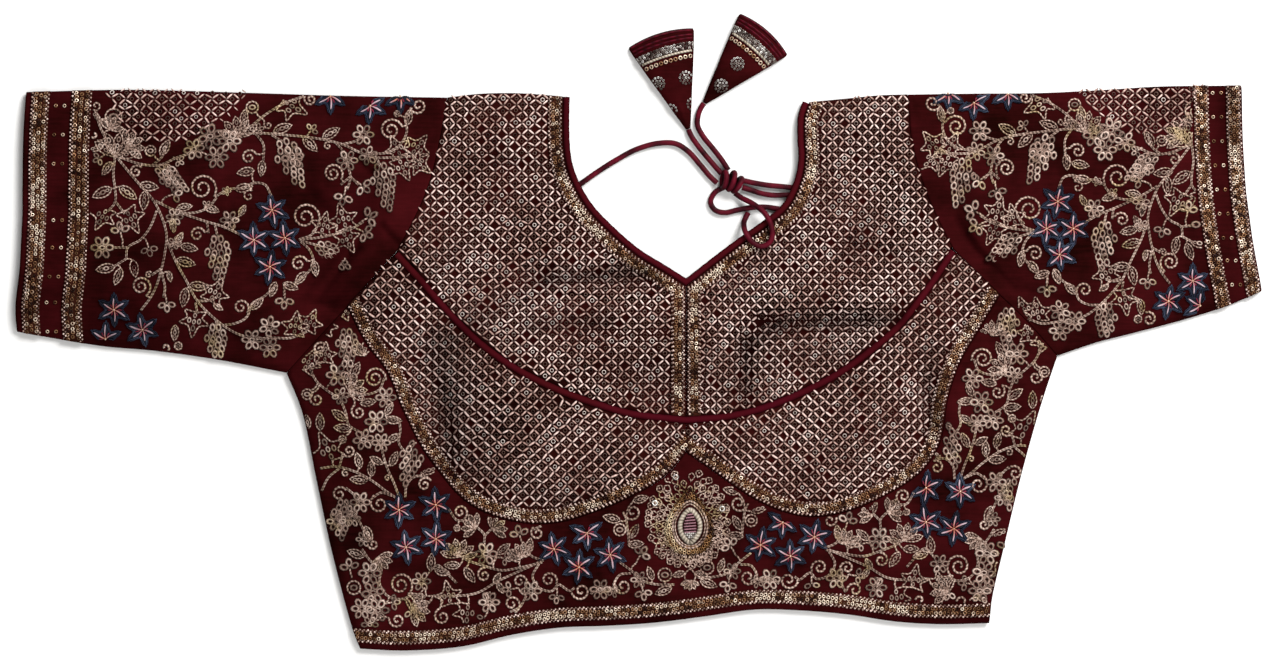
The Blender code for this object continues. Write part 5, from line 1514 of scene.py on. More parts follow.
def art_silk(name, colours):
    """Art silk, plain woven and dyed maroon: a soft sheen painted into its colour in large lighter patches,
    slubs along the weft and a fine even grain.
    """
    material, tree, shader = new_finish(name, 0.5, Specular_IOR_Level=0.0)
    place = link_node(tree, "ShaderNodeTexCoord").outputs["Object"]
    # painted sheen: large patches where the silk is lighter, as satin is where it catches the light
    patch = link_node(tree, "ShaderNodeTexNoise", {}, {
        "Vector": place, "Scale": 17.0, "Detail": 5.0, "Roughness": 0.62})
    stretched = link_node(tree, "ShaderNodeMapping", {}, {"Vector": place, "Scale": (60.0, 700.0, 60.0)})
    slub = link_node(tree, "ShaderNodeTexNoise", {}, {
        "Vector": stretched.outputs["Vector"], "Scale": 1.0, "Detail": 3.0}).outputs["Fac"]
    spread = link_node(tree, "ShaderNodeMapRange", {}, {
        "Value": patch.outputs["Fac"], "From Min": 0.32, "From Max": 0.72})
    uneven = link_node(tree, "ShaderNodeMath", TIMES_PLUS, {0: slub, 1: 0.5, 2: -0.25})
    tone = link_node(tree, "ShaderNodeMath", CLAMPED, {
        0: spread.outputs["Result"], 1: 1.0, 2: uneven.outputs[0]})
    # threads 0.3 mm apart, drawn 0.9 mm apart so that the grain shows
    warp, weft = (link_node(tree, "ShaderNodeTexWave", {"bands_direction": way}, {
        "Vector": place, "Scale": bands(0.9 * MM), "Distortion": 0.6}).outputs["Fac"] for way in "XY")
    grain = link_node(tree, "ShaderNodeMath", TIMES_PLUS, {0: warp, 1: weft, 2: slub})
    paint(tree, shader, tone.outputs[0], colours, relief=(grain.outputs[0], 0.5, 0.12))
    return material


def couched_cord(name, colours, others=None, metallic=0.25, period=1.15):
    """Couched cord: a chain of turns along it, with painted light on each turn's top and painted shade
    between the turns.
    """
    material, tree, shader = new_finish(name, 0.5, Metallic=metallic, Specular_IOR_Level=0.05)
    coordinates = link_node(tree, "ShaderNodeTexCoord").outputs
    twist = link_node(tree, "ShaderNodeTexWave", {"bands_direction": "DIAGONAL"}, {
        "Vector": coordinates["UV"], "Scale": bands(period), "Distortion": 1.4, "Detail": 1.0}).outputs["Fac"]
    patch = link_node(tree, "ShaderNodeTexNoise", {}, {
        "Vector": coordinates["Object"], "Scale": 190.0, "Detail": 3.0})
    uneven = link_node(tree, "ShaderNodeMath", TIMES_PLUS, {0: patch.outputs["Fac"], 1: 1.5, 2: -0.5})
    tone = link_node(tree, "ShaderNodeMath", CLAMPED, {0: twist, 1: 0.5, 2: uneven.outputs[0]})
    paint(tree, shader, tone.outputs[0], colours, others, (twist, 0.6, 0.25))
    return material


def each_its_tone(name, colours, roughness, metallic=0.0, coat=0.0, others=None):
    """Small pieces whose tone is their own: its share is kept on each piece as the attribute "shade"."""
    material, tree, shader = new_finish(
        name, roughness, Metallic=metallic, Coat_Weight=coat, Specular_IOR_Level=0.2)
    own = link_node(tree, "ShaderNodeAttribute", {"attribute_name": "shade"}).outputs["Fac"]
    place = link_node(tree, "ShaderNodeTexCoord").outputs["Object"]
    speck = link_node(tree, "ShaderNodeTexNoise", {}, {
        "Vector": place, "Scale": 700.0, "Detail": 2.0}).outputs["Fac"]
    lower = link_node(tree, "ShaderNodeMath", TIMES_PLUS, {0: own, 1: 1.0, 2: -0.45})
    tone = link_node(tree, "ShaderNodeMath", CLAMPED, {0: speck, 1: 0.9, 2: lower.outputs[0]})
    paint(tree, shader, tone.outputs[0], colours, others, (speck, 0.3, 0.1))
    return material


def floss(name, colours, fade=False):
    """Untwisted silk floss in long satin stitches: fine streaks of painted light and shade, and with fade
    lighter to the far end.
    """
    material, tree, shader = new_finish(name, 0.5, Specular_IOR_Level=0.12)
    coordinates = link_node(tree, "ShaderNodeTexCoord").outputs
    stretched = link_node(tree, "ShaderNodeMapping", {}, {
        "Vector": coordinates["UV"], "Scale": (9.0, 0.6, 1.0)})
    streak = link_node(tree, "ShaderNodeTexNoise", {}, {
        "Vector": stretched.outputs["Vector"], "Scale": 1.6, "Detail": 2.0}).outputs["Fac"]
    patch = link_node(tree, "ShaderNodeTexNoise", {}, {"Vector": coordinates["Object"], "Scale": 60.0})
    uneven = link_node(tree, "ShaderNodeMath", TIMES_PLUS, {0: patch.outputs["Fac"], 1: 1.4, 2: -1.0})
    tone = link_node(tree, "ShaderNodeMath", TIMES_PLUS, {0: streak, 1: 1.6, 2: uneven.outputs[0]})
    if fade:
        far = link_node(tree, "ShaderNodeSeparateXYZ", {}, {"Vector": coordinates["UV"]}).outputs["Y"]
        softer = link_node(tree, "ShaderNodeMath", TIMES_PLUS, {0: tone.outputs[0], 1: 0.7, 2: -0.18})
        tone = link_node(tree, "ShaderNodeMath", TIMES_PLUS, {0: far, 1: 0.13, 2: softer.outputs[0]})
    paint(tree, shader, tone.outputs[0], colours, relief=(streak, 0.7, 0.3))
    return material


def make_finishes(colours):
    """Every finish of the blouse, by the name that the makers use."""
    tones = {name: [tuple(getattr(colours, f"{name}_{k}")) for k in range(1, len(codes) + 1)]
             for name, (_, *codes) in TONES.items()}
    return {
        # close weave of dyed filament: dark maroon with slubs, mottled by painted sheen; the shader itself
        # has hardly any shine
        "silk": art_silk("Maroon Art Silk Plain Woven", tones["silk"]),
        # the same cloth under the front, darkened as painted shade: almost black where the neck shows it
        "back_silk": art_silk("Maroon Art Silk Back", tones["back"]),
        # cut on the bias and rolled: a smooth edge, a little brighter than the cloth
        "piping": art_silk("Maroon Bias Cut Silk Piping", tones["piping"]),
        # painted shade of the lattice's stitches on the cloth under them: darker and a little browner than
        # the plain silk
        "cup_silk": art_silk("Maroon Art Silk Under Lattice", tones["ground"]),
        # silk shot with bronze threads: a dull warm ground between the sequins
        "tissue": art_silk("Bronze Tissue Strip", tones["tissue"]),
        # hard twisted rayon: pale rose stitches, some of them catching the light
        "lattice": each_its_tone("Rose Beige Twisted Lattice Thread", tones["thread"], 0.55),
        # wire wound on a ring: mostly dull brown, a few pale glints
        "ring": each_its_tone("Pale Gold Wound Wire Ring", tones["ring"], 0.45, metallic=0.1),
        # flattened metal wound on cotton and aged: greyed gold, pinkish here and yellower there
        "zari": couched_cord("Dull Gold Zari Chain Cord", tones["zari"], tones["gilt"]),
        "zari_loops": each_its_tone(
            "Dull Gold Zari Loops", tones["zari"], 0.5, metallic=0.25, others=tones["gilt"]),
        # cut glass: small and pinkish, with a sharp light on each
        "bead": each_its_tone("Pink Cream Cut Glass Bead", tones["bead"], 0.25, coat=0.4),
        # lacquered foil: brown beside bright gold from one to the next, as a painted reflection of each
        # sequin's light
        "sequin": each_its_tone("Antique Gold Foil Sequin", tones["sequin"], 0.32, metallic=0.5),
        "gold_sequin": each_its_tone("Pale Gold Foil Sequin", tones["gold"], 0.32, metallic=0.5),
        # bare foil: cool, and nearly white where it faces the light
        "silver": each_its_tone("Silver Foil Sequin", tones["silver"], 0.3, metallic=0.5),
        # untwisted floss: satin streaks along each stitch
        "petal": floss("Navy Silk Floss", tones["petal"]),
        "petal_thread": floss("Slate Blue Silk Floss", tones["slate"]),
        "ray": floss("Rose And Peach Silk Floss", tones["ray"], fade=True),
        "crimson": floss("Crimson Silk Floss", tones["crimson"]),
        "plum": floss("Plum Silk Floss", tones["plum"]),
        # bias silk twisted on a cotton core: soft slanting turns, no metal in it
        "cord": couched_cord("Maroon Satin Dori Cord", tones["cord"], metallic=0.0, period=2.6),
        # pearled cotton with a little metal: matt cream beads of thread
        "cream": couched_cord("Cream Pearl Cord", tones["cream"], metallic=0.1, period=1.0),
    }


# What a user may change

SIZES = {  # label, what it is, and its default in mm
    "lattice_across": ("Lattice Width", "Width of one diamond of the lattice", 7.7),
    "lattice_along": ("Lattice Length", "Length of one diamond of the lattice", 7.3),
    "lattice_stitch": ("Lattice Stitch", "Width of one stitch of the lattice", 1.4),
    "ring_diameter": ("Ring Diameter", "Diameter of the small rings in the lattice", 3.0),
    "stem_width": ("Stem Width", "Width of the double cord of a stem", 1.75),
    "cord_width": ("Zari Width", "Width of the single zari cord", 1.4),
    "cord_height": ("Zari Height", "Height of the zari cord over the cloth", 0.9),
    "star_reach": ("Star Reach", "Length of a star flower's petal", 11.2),
    "petal_width": ("Petal Width", "Width of a star flower's petal", 5.0),
    "ray_width": ("Ray Width", "Width of the ray on a star flower's petal", 1.4),
    "sequin_diameter": ("Sequin Diameter", "Diameter of a border sequin", 2.75),
    "sequin_pitch": ("Sequin Pitch", "Distance from one sequin to the next", 2.6),
    "bead_diameter": ("Bead Diameter", "Diameter of a border bead", 1.3),
    "bead_pitch": ("Bead Pitch", "Distance from one bead to the next", 2.5),
}


class CholiSizes(bpy.types.PropertyGroup):
    """Sizes of the embroidery."""
    __annotations__ = {
        key: bpy.props.FloatProperty(name=label, description=words, default=value * MM, min=0.0,
                                     precision=5, subtype="DISTANCE", unit="LENGTH")
        for key, (label, words, value) in SIZES.items()
    }
    __annotations__["sprig_scale"] = bpy.props.FloatProperty(
        name="Sprig Scale", description="Size of the leaves and flowers against their table",
        default=1.1, min=0.5, max=1.5, subtype="FACTOR")


class CholiColours(bpy.types.PropertyGroup):
    """Tones of each finish, the first one the darkest."""
    __annotations__ = {
        f"{key}_{k}": bpy.props.FloatVectorProperty(
            name=f"{key.title()} {k}", description=f"{words}: tone {k} of {len(codes)}",
            default=linear(code), size=4, min=0.0, max=1.0, subtype="COLOR")
        for key, (words, *codes) in TONES.items() for k, code in enumerate(codes, start=1)
    }


FINISHES = {}
SEWN_ON = {}      # cloth -> the pieces sewn on it


def finishes_of(context):
    if not FINISHES:
        FINISHES.update(make_finishes(context.scene.choli_colours))
    return FINISHES


def sewn(cloth, pieces):
    SEWN_ON.setdefault(cloth, []).extend(pieces)


# Laying each cloth


def lay_cloth(piece, node):
    """Ties a piece of cloth to the frame and hides the solid that it replaces."""
    slot = "back_silk" if node.startswith("back") else "silk"
    finish_piece(piece, slot, node)


# Cords

CORDS = {  # way along its route from where the cord leaves, real length in m, far end, tassel
    "dori_left": (1, 0.118, "knot", None),
    "dori_right": (-1, 0.0446, "knot", None),
    "tie_end_left": (-1, 0.0345, "fitting", "latkan_left"),
    "tie_end_right": (-1, 0.0486, "fitting", "latkan_right"),
    "bow_loop_long": (1, 0.1126, "knot", None),
    "bow_loop_round": (1, 0.0779, "knot", None),
}
CORD_SIDES = 12
CORD_STEP = 1.1


def twisted_tube(name, path, finish):
    """A cord's round skin along a path of points with heights."""
    ahead = unit(np.gradient(path, axis=0))
    across = unit(np.cross(ahead, (0.0, 0.0, 1.0)))
    up = np.cross(across, ahead)
    angles = circle(CORD_SIDES)
    rings = [point + CORD / 2 * (np.outer(np.cos(angles), a) + np.outer(np.sin(angles), u))
             for point, a, u in zip(path, across, up)]
    # painted shade: none on top of the cord, half at its sides, full underneath
    return rings_mesh(name, rings, finish, uvs=tube_uvs(lengths_along(path) / CORD, CORD_SIDES),
                      deep=np.tile(0.5 - 0.5 * np.sin(angles), len(path)))


KNOT_WRAPS = [  # place along the bow, lean, half length, half height of a turn
    (-4.3, 16.0, 4.9, 3.1), (0.2, 6.0, 5.5, 3.6), (4.6, -8.0, 4.8, 3.1),
]
KNOT_SIDES, KNOT_STEPS = 10, 28
KNOT_TWIST = 0.35      # of the cord for each step round a turn
KNOT_SLANT = 1.2       # how far a turn shifts along the bow


def make_knot(finish):
    """Three turns of the cord drawn tight round the two doris."""
    rings, faces = [], []
    angles, turn = circle(KNOT_SIDES), circle(KNOT_STEPS)
    for along, lean, half_length, half_height in KNOT_WRAPS:
        local = np.column_stack([along + np.sin(turn) * KNOT_SLANT, half_length * np.cos(turn)])
        middle = half_height + CORD / 2 + 0.1
        flat = turned(local, *KNOT_CENTRE, lean + KNOT_TURN, 1.0)
        path = np.column_stack([flat, middle + half_height * np.sin(turn)])
        ahead = np.roll(path, -1, axis=0) - np.roll(path, 1, axis=0)
        side = unit(np.cross(ahead, path - (*KNOT_CENTRE, middle)))
        out = unit(np.cross(side, ahead))
        faces += ring_faces(KNOT_STEPS, KNOT_SIDES, wraps=True, start=len(rings) * KNOT_SIDES)
        rings += [point + CORD / 2 * (np.outer(np.cos(angles), s) + np.outer(np.sin(angles), o))
                  for point, s, o in zip(path, side, out)]
    uvs = tube_uvs(KNOT_TWIST * np.arange(KNOT_STEPS), KNOT_SIDES) * len(KNOT_WRAPS)
    # painted shade: none on top of the cord, half at its sides, full underneath
    deep = np.tile(0.5 - 0.5 * np.sin(angles), len(rings))
    return new_mesh_object("dori_knot_turns", np.vstack(rings), faces, finish, uvs, deep=deep)


# Tassels

LATKAN_ROUND = 40
PLEAT_RISE, PLEATS = 0.28, 9.0
PLEAT_AT, PLEAT_REACH = 0.16, 0.16      # shares of the length from the tip
PLEAT_SHIFT = {"latkan_left": 0.0, "latkan_right": 2.0}
LATKAN_LACE = [(0.803, 18), (0.828, 19), (0.853, 20)]    # along, silver sequins in the row
LATKAN_FLOWERS = {  # x, y of the middle of each sequin flower
    "latkan_left": [(11.9, 176.7), (29.0, 180.3), (19.6, 160.0), (33.6, 164.1)],
    "latkan_right": [(61.0, 188.9), (51.0, 175.4)],
}
FLOWER_RINGS = [(0.0, 1, 1.1), (1.9, 6, 0.85), (3.7, 12, 0.9)]     # radius, sequins, their size


def latkan_body(node, form, finish):
    """The stuffed triangle, with small pleats where it is drawn to its tip."""
    rings, uvs = [], []
    side, up = np.cos(circle(LATKAN_ROUND)), np.sin(circle(LATKAN_ROUND))
    over = up >= 0
    for share in np.concatenate([np.linspace(0.0, 0.9, 26), np.linspace(0.92, 1.0, 7)]):
        ring = np.where(over[:, None], form.place(share, side, 1.0), form.place(share, side, -1.0))
        pleat = PLEAT_RISE * np.sin(side * PLEATS + PLEAT_SHIFT[node])
        pleat *= np.exp(-((share - PLEAT_AT) / PLEAT_REACH) ** 2) * min(1.0, 4 * share)
        ring[:, 2] += np.where(over, pleat, 0.0)
        rings.append(ring)
        uvs += [(s * share * 10, share * 60) for s in side]
    return rings_mesh(f"{node}_silk", rings, finish, uvs=uvs)


def make_latkan(node, finishes):
    """A stuffed triangle of silk with a sewn edge, a cream cord, a row of gold sequins, a band of silver
    sequins and sequin flowers.
    """
    form = Latkan(*LATKANS[node])
    body = latkan_body(node, form, finishes["silk"])
    finish_piece(body, "tassel_silk", node)

    def across(share, reach=0.93, count=40):
        return form.place(share, np.linspace(-reach, reach, count))[:, :2]

    edge = LaidThread(form.top)
    edge.lay(across(0.775), 1.9, 0.9)
    edge.finish(f"{node}_cream_cord", finishes["cream"])
    seam = LaidThread(form.top)
    for share in (0.9, 0.935, 0.98):
        seam.lay(across(share, 0.95), 1.3, 0.5, lift=-0.05)
    seam.finish(f"{node}_edge_stitches", finishes["cord"], "silk")
    noise = np.random.default_rng(7)
    row = across(0.722, 0.86, 10)
    scatter(f"{node}_row", "sequin", "sequin_border", finishes["sequin"], row, (3.1, 3.1, 0.9),
            shade=noise.uniform(0.45, 0.85, len(row)), ground=form.top, lift=0.15)
    lace = np.vstack([across(share, 0.95, count) for share, count in LATKAN_LACE])
    lace = lace + noise.normal(0, 0.15, lace.shape)
    glow = 0.55 + 0.2 * np.sin(lace[:, 0] / 3.1 + 2.0) + noise.normal(0, 0.25, len(lace))
    spots, sizes, shades = [lace], [np.ones(len(lace))], [glow]
    for x, y in LATKAN_FLOWERS[node]:
        for radius, count, size in FLOWER_RINGS:
            ring = ring_points(x, y, radius, count)
            ring = ring[form.on_top(ring)]
            spots.append(ring)
            sizes.append(np.full(len(ring), size))
            # painted light: a flower's sequins are lighter on its upper side
            shades.append(0.55 + 0.1 * (ring[:, 1] - y) + noise.normal(0, 0.15, len(ring)))
    scatter(f"{node}_sequins", "sequin", "sequin_border", finishes["silver"], np.vstack(spots),
            (1.9, 1.9, 0.7), grow=np.concatenate(sizes), shade=np.concatenate(shades), tilt=0.2, seed=3,
            ground=form.top, lift=0.1)
    return body


CAMERA_WIDTH, CAMERA_CENTRE = 0.789, (-0.00155, 0.02356)     # of the layout seen by the camera, in m
CAMERA_RAISED = 0.008      # over the height for that width at the floor


class CHOLI_OT_camera(bpy.types.Operator):
    """Hangs the camera straight over the blouse"""
    bl_idname = "choli.camera"
    bl_label = "Camera"

    def execute(self, context):
        data = bpy.data.cameras.new("Overhead")
        data.lens, data.sensor_width = 100.0, 36.0
        data.clip_start, data.clip_end = 0.1, 20.0
        camera = add_object("Overhead", data)
        camera.location = (*CAMERA_CENTRE, CAMERA_WIDTH * data.lens / data.sensor_width + CAMERA_RAISED)
        context.scene.camera = camera
        return {"FINISHED"}


class CHOLI_OT_cords(bpy.types.Operator):
    """Makes the tied neck cords, their bow and its knot"""
    bl_idname = "choli.cords"
    bl_label = "Dori Cords"

    def execute(self, context):
        made = finishes_of(context)
        latkans = {node: make_latkan(node, made) for node in LATKANS}
        for node, (way, length, far_end, tassel) in CORDS.items():
            line = smooth_line([(*point, LOW)[:3] for point in ROUTES[node]], step=0.5)[::way]
            path = spaced(line, int(lengths_along(line)[-1] / CORD_STEP) + 1)
            cord = twisted_tube(f"{node}_cord", path, made["cord"])
            finish_piece(cord, "cord_silk", node)
        finish_piece(make_knot(made["cord"]), "cord_silk", "dori_knot")
        return {"FINISHED"}


# Cloth

def blouse_cloth(node, finish, lines):
    """The wall of one front panel, its outer side at the height of the solid's."""
    return shell_from_lines(
        f"silk_{node}", lines, lambda p: np.maximum(cloth_top(p) - WALL, BACK_WALL + GAP), cloth_top, finish)


def folded_ring(line, edge_inset, floor, wall):
    """A closed ring round a flattened sleeve, over the front and back under it."""
    front = line.copy()
    heights = cloth_top(line) - wall
    ends = []
    for end, neighbour in ((0, 3), (-1, -4)):
        inward = unit(line[neighbour] - line[end])
        front[end] = line[end] + inward * (edge_inset + FOLD_ROUND)
        ends.append((*(line[end] + inward * edge_inset), (floor + heights[end]) / 2))
    under = front[::-1][::3]
    return np.vstack([ends[0], np.column_stack([front, heights]), ends[1],
                      np.column_stack([under, np.full(len(under), floor)])])


BACK_CREASES = [  # x0, y0, x1, y1, height, spread
    (-36.0, 150.0, 30.0, 138.0, 0.28, 7.0), (20.0, 160.0, 90.0, 150.0, 0.24, 6.0),
    (-20.0, 118.0, 10.0, 96.0, 0.26, 6.0), (60.0, 92.0, 90.0, 128.0, 0.2, 8.0),
]
BACK_GRID = 5.0


def back_cloth(half, finish):
    """Half of the back: a flat wall with low creases where the neck shows it."""
    outline = half.back()
    low, high = outline.min(0), outline.max(0)
    x, y = np.meshgrid(np.arange(low[0], high[0], BACK_GRID), np.arange(low[1], high[1], BACK_GRID))
    grid = np.column_stack([x.ravel(), y.ravel()])
    grid = grid[inside(grid, outline)]
    grid = grid[distance_to_line(grid, closed_up(outline)) > BACK_GRID / 2]
    points = [Vector(p) for p in np.vstack([outline, grid])]
    flat, _, faces, *_ = delaunay_2d_cdt(points, [], [list(range(len(outline)))], 1, 1e-4)
    flat = np.array([tuple(p) for p in flat])
    count = len(flat)
    walls = [tuple(f) for f in faces] + [tuple(count + k for k in reversed(f)) for f in faces]
    sides = {side: True for face in faces for side in zip(face, face[1:] + face[:1])}
    walls += [(b, a, count + a, count + b) for a, b in sides if (b, a) not in sides]
    rise = np.max([height * ridge(flat, *place, spread) for *place, height, spread in BACK_CREASES], axis=0)
    above, below = (np.column_stack([flat, height]) for height in (BACK_WALL + rise, np.zeros(count)))
    return new_mesh_object(f"silk_back_{half.tag}", np.vstack([above, below]), walls, finish)


class CHOLI_OT_backs(bpy.types.Operator):
    """Lays the two halves of the back under the front"""
    bl_idname = "choli.backs"
    bl_label = "Back"

    def execute(self, context):
        for half in HALVES:
            lay_cloth(back_cloth(half, finishes_of(context)["back_silk"]), f"back_{half.tag}")
        return {"FINISHED"}


class CHOLI_OT_cups(bpy.types.Operator):
    """Makes the upper and lower cups over the back"""
    bl_idname = "choli.cups"
    bl_label = "Cups"

    def execute(self, context):
        for half in HALVES:
            for part in ("upper", "lower"):
                node = f"{part}_cup_{half.tag}"
                cloth = blouse_cloth(node, finishes_of(context)["cup_silk"], PANELS[node])
                lay_cloth(cloth, node)
        return {"FINISHED"}


class CHOLI_OT_midriff(bpy.types.Operator):
    """Makes the midriff panel under the cups, with the hem's plain edge"""
    bl_idname = "choli.midriff"
    bl_label = "Midriff"

    def execute(self, context):
        cloth = blouse_cloth("midriff", finishes_of(context)["silk"], PANELS["midriff"])
        lay_cloth(cloth, "midriff")
        return {"FINISHED"}


class CHOLI_OT_sleeves(bpy.types.Operator):
    """Makes the two sleeves as tubes laid flat, open at the cuff and at the armhole"""
    bl_idname = "choli.sleeves"
    bl_label = "Sleeves"

    def execute(self, context):
        for half in HALVES:
            node = f"sleeve_{half.tag}"
            lines = finer(PANELS[node], False)
            outer = [folded_ring(line, 0.0, 0.0, 0.0) for line in lines]
            inner = [folded_ring(line, BACK_WALL, BACK_WALL, WALL) for line in lines]
            silk = finishes_of(context)["silk"]
            lay_cloth(rings_mesh(f"silk_{node}", outer + inner[::-1], silk, wraps=True), node)
        return {"FINISHED"}


PIPING_SIDES = 12
SHARPEST_MITRE = 0.4       # of a corner's half angle, as a cosine


def piping(name, node, path, diameter, centre_drop, finish):
    """A round bias-cut piping along a layout path, mitred at its corners."""
    steps = unit(np.diff(path, axis=0))
    before, after = np.vstack([steps[:1], steps]), np.vstack([steps, steps[-1:]])
    middle = unit(before + after)
    widen = 1.0 / np.maximum(np.sum(middle * after, axis=1), SHARPEST_MITRE)
    across = np.column_stack([-middle[:, 1], middle[:, 0]]) * widen[:, None]
    angles = circle(PIPING_SIDES)
    rings, run = [], lengths_along(path)
    for point, height, side, far in zip(path, cloth_top(path) - centre_drop, across, run):
        swell = diameter / 2 * (1 + 0.03 * math.sin(far * 0.9) + 0.02 * math.sin(far * 2.3))
        rings.append(np.column_stack([
            point + np.outer(np.cos(angles) * swell, side), height + np.sin(angles) * swell]))
    # painted shade: none on top of the piping, darker down its sides, full underneath
    deep = np.tile(np.clip(0.8 - 0.8 * np.sin(angles), 0.0, 1.0), len(path))
    skin = rings_mesh(name, rings, finish, uvs=tube_uvs(run / diameter, PIPING_SIDES), deep=deep)
    return finish_piece(skin, "silk", node)


class CHOLI_OT_pipings(bpy.types.Operator):
    """Makes the piping of the neckline and the one in the curved seam of the cups"""
    bl_idname = "choli.pipings"
    bl_label = "Pipings"

    def execute(self, context):
        finish = finishes_of(context)["piping"]
        left, right = (half.upper_cup_sides(NECK_PIPING / 2)[0][:N_NECKLINE] for half in HALVES)
        middle = np.array([[CENTRE_X, (left[-1, 1] + right[-1, 1]) / 2]])
        left, right = spaced(left[:-1], 110), spaced(right[:-1], 110)
        piping("silk_neck_piping", "neck_piping", np.vstack([left, middle, right[::-1]]),
               NECK_PIPING + 2.4 * GAP, NECK_PIPING_DROP, finish)
        left, right = (spaced(half.cup_seam, 130) for half in HALVES)
        path = np.vstack([left, right[::-1][1:]])
        for end, neighbour in ((0, 1), (-1, -2)):
            inward = path[neighbour] - path[end]
            path[end] += unit(inward) * min(SEAM_PIPING / 2, np.linalg.norm(inward) * 0.6)
        piping("silk_cup_seam_piping", "cup_seam_piping", path, SEAM_PIPING + 2 * GAP, SEAM_PIPING_DROP,
               finish)
        return {"FINISHED"}


# Embroidery and trims

NARROW_ROWS = (0.34, 0.66)
WIDE_ROWS = (0.24, 0.5, 0.76)


class CHOLI_OT_borders(bpy.types.Operator):
    """Sews the sequin borders of the neck, the cups, the hem and the cuffs"""
    bl_idname = "choli.borders"
    bl_label = "Sequin Borders"

    def execute(self, context):
        borders = [("hem_border", "midriff", 1, NARROW_ROWS)]
        for tag in SEAMS:
            borders += [
                (f"neck_border_{tag}", f"upper_cup_{tag}", 1, NARROW_ROWS),
                (f"cup_border_{tag}", f"lower_cup_{tag}", 1, NARROW_ROWS),
                (f"cuff_border_{tag}_outer", f"sleeve_{tag}", 1, WIDE_ROWS),
                (f"cuff_border_{tag}_inner", f"sleeve_{tag}", 3, WIDE_ROWS),
            ]
        for seed, (node, cloth, first, rows) in enumerate(borders, start=11):
            lines = PANELS[cloth][first:first + 2]
            sewn(cloth, sequin_border(
                node, lines, context.scene.choli_sizes, finishes_of(context), rows, seed))
        return {"FINISHED"}


FAN_AT = {"left": -85.0, "right": 120.0}       # x of the crown that the lower cup's threads run up to


class CHOLI_OT_lattice(bpy.types.Operator):
    """Sews the lattice with its rings over the cups and the head of each sleeve"""
    bl_idname = "choli.lattice"
    bl_label = "Lattice Work"

    def execute(self, context):
        sizes, made = context.scene.choli_sizes, finishes_of(context)
        for seed, tag in enumerate(SEAMS, start=31):
            for part, fan_x in (("upper", None), ("lower", FAN_AT[tag])):
                cloth = f"{part}_cup_{tag}"
                field = grid_outline(PANELS[cloth][2:])
                sewn(cloth, lattice_on(cloth, field, sizes, made, fan_x, seed))
            corner = np.array(SLEEVE_LATTICE, float)
            if tag == "right":
                corner = to_right_sleeve(corner)
            sewn(f"sleeve_{tag}", lattice_on(f"sleeve_{tag}", corner, sizes, made, None, seed))
        return {"FINISHED"}


BORDER_LINES = {"sleeve_left": 4, "sleeve_right": 4, "midriff": 2}      # taken by the borders


class CHOLI_OT_vines(bpy.types.Operator):
    """Sews the zari vines with their leaves, flowers and grapes, and the blue star flowers"""
    bl_idname = "choli.vines"
    bl_label = "Vines And Stars"

    def execute(self, context):
        sizes, made = context.scene.choli_sizes, finishes_of(context)
        rooms = {cloth: room_in(grid_outline(PANELS[cloth][first:])) for cloth, first in BORDER_LINES.items()}
        for tag in SEAMS:
            for cloth, stems, sprigs, stars, move in (
                    (f"sleeve_{tag}", SLEEVE_STEMS, SLEEVE_SPRIGS, SLEEVE_STARS, to_right_sleeve),
                    ("midriff", BODICE_STEMS, BODICE_SPRIGS, BODICE_STARS, to_right_bodice)):
                move = move if tag == "right" else None
                flowers = StarFlowers(rooms[cloth])
                for x, y, turn in stars:
                    if move:
                        (x, y), turn = move([(x, y)])[0], -turn
                    flowers.add(x, y, turn, sizes)
                work = Embroidery(rooms[cloth], sizes)
                work.sew(stems, sprigs, move)
                name = cloth if cloth != "midriff" else f"midriff_{tag}"
                sewn(cloth, work.finish(name, made) + flowers.finish(name, made))
        return {"FINISHED"}


CUFF_PAIRS = {  # distances from the cuff, y of each pair of sequins
    "left": ((19.2, 24.6), (163, 145, 127, 92, 75, 57, 41, 23)),
    "right": ((-13.0, -18.2), (171, 156, 141, 126, 111, 96, 81, 67, 52)),
}


class CHOLI_OT_cuff_pairs(bpy.types.Operator):
    """Sews the pairs of single sequins between the two bands of each cuff"""
    bl_idname = "choli.cuff_pairs"
    bl_label = "Cuff Sequins"

    def execute(self, context):
        for half in HALVES:
            reaches, heights = CUFF_PAIRS[half.tag]
            cuff = half.cuff[::-1]
            places = [(np.interp(y, cuff[:, 1], cuff[:, 0]) + far, y) for y in heights for far in reaches]
            sewn(f"sleeve_{half.tag}", [scatter(
                f"cuff_sequins_{half.tag}", "sequin", "sequin_border", finishes_of(context)["sequin"], places,
                (2.7, 2.7, 0.7), shade=0.55 + 0.35 * np.sin(np.arange(len(places)) * 2.3), tilt=0.2, seed=5,
                lift=0.1)])
        return {"FINISHED"}


# Centre motif

AUREOLE_ROWS = [  # distance from the teardrop, length and width of a loop, loops in the row
    (-1.0, 5.2, 3.0, 28), (2.0, 5.2, 3.4, 29), (4.8, 5.2, 3.8, 29), (7.4, 4.8, 4.2, 27),
]
# Places of large silver sequins at the glare round the teardrop; the glare on them is a painted highlight
AUREOLE_BRIGHT = [(9.9, -83.4), (51.5, -86.9), (22.8, -67.3), (18.8, -94.0)]
MOTIF_HEART = (31.6, -97.6)
MOTIF_MIDDLE = (MOTIF_CENTRE[0], MOTIF_CENTRE[1] - 1.5)
MOTIF_RINGS = [(0.97, 2.6), (0.87, 2.5), (0.78, 2.5)]       # share of the outline, pitch of its sequins
MOTIF_LINE = smooth_line(closed_up(np.array(
    [(MOTIF_CENTRE[0] + side * wide, MOTIF_CENTRE[1] + y)
     for side, rows in ((1, MOTIF_SECTIONS), (-1, MOTIF_SECTIONS[::-1])) for y, wide, _ in rows[1:-1]])))


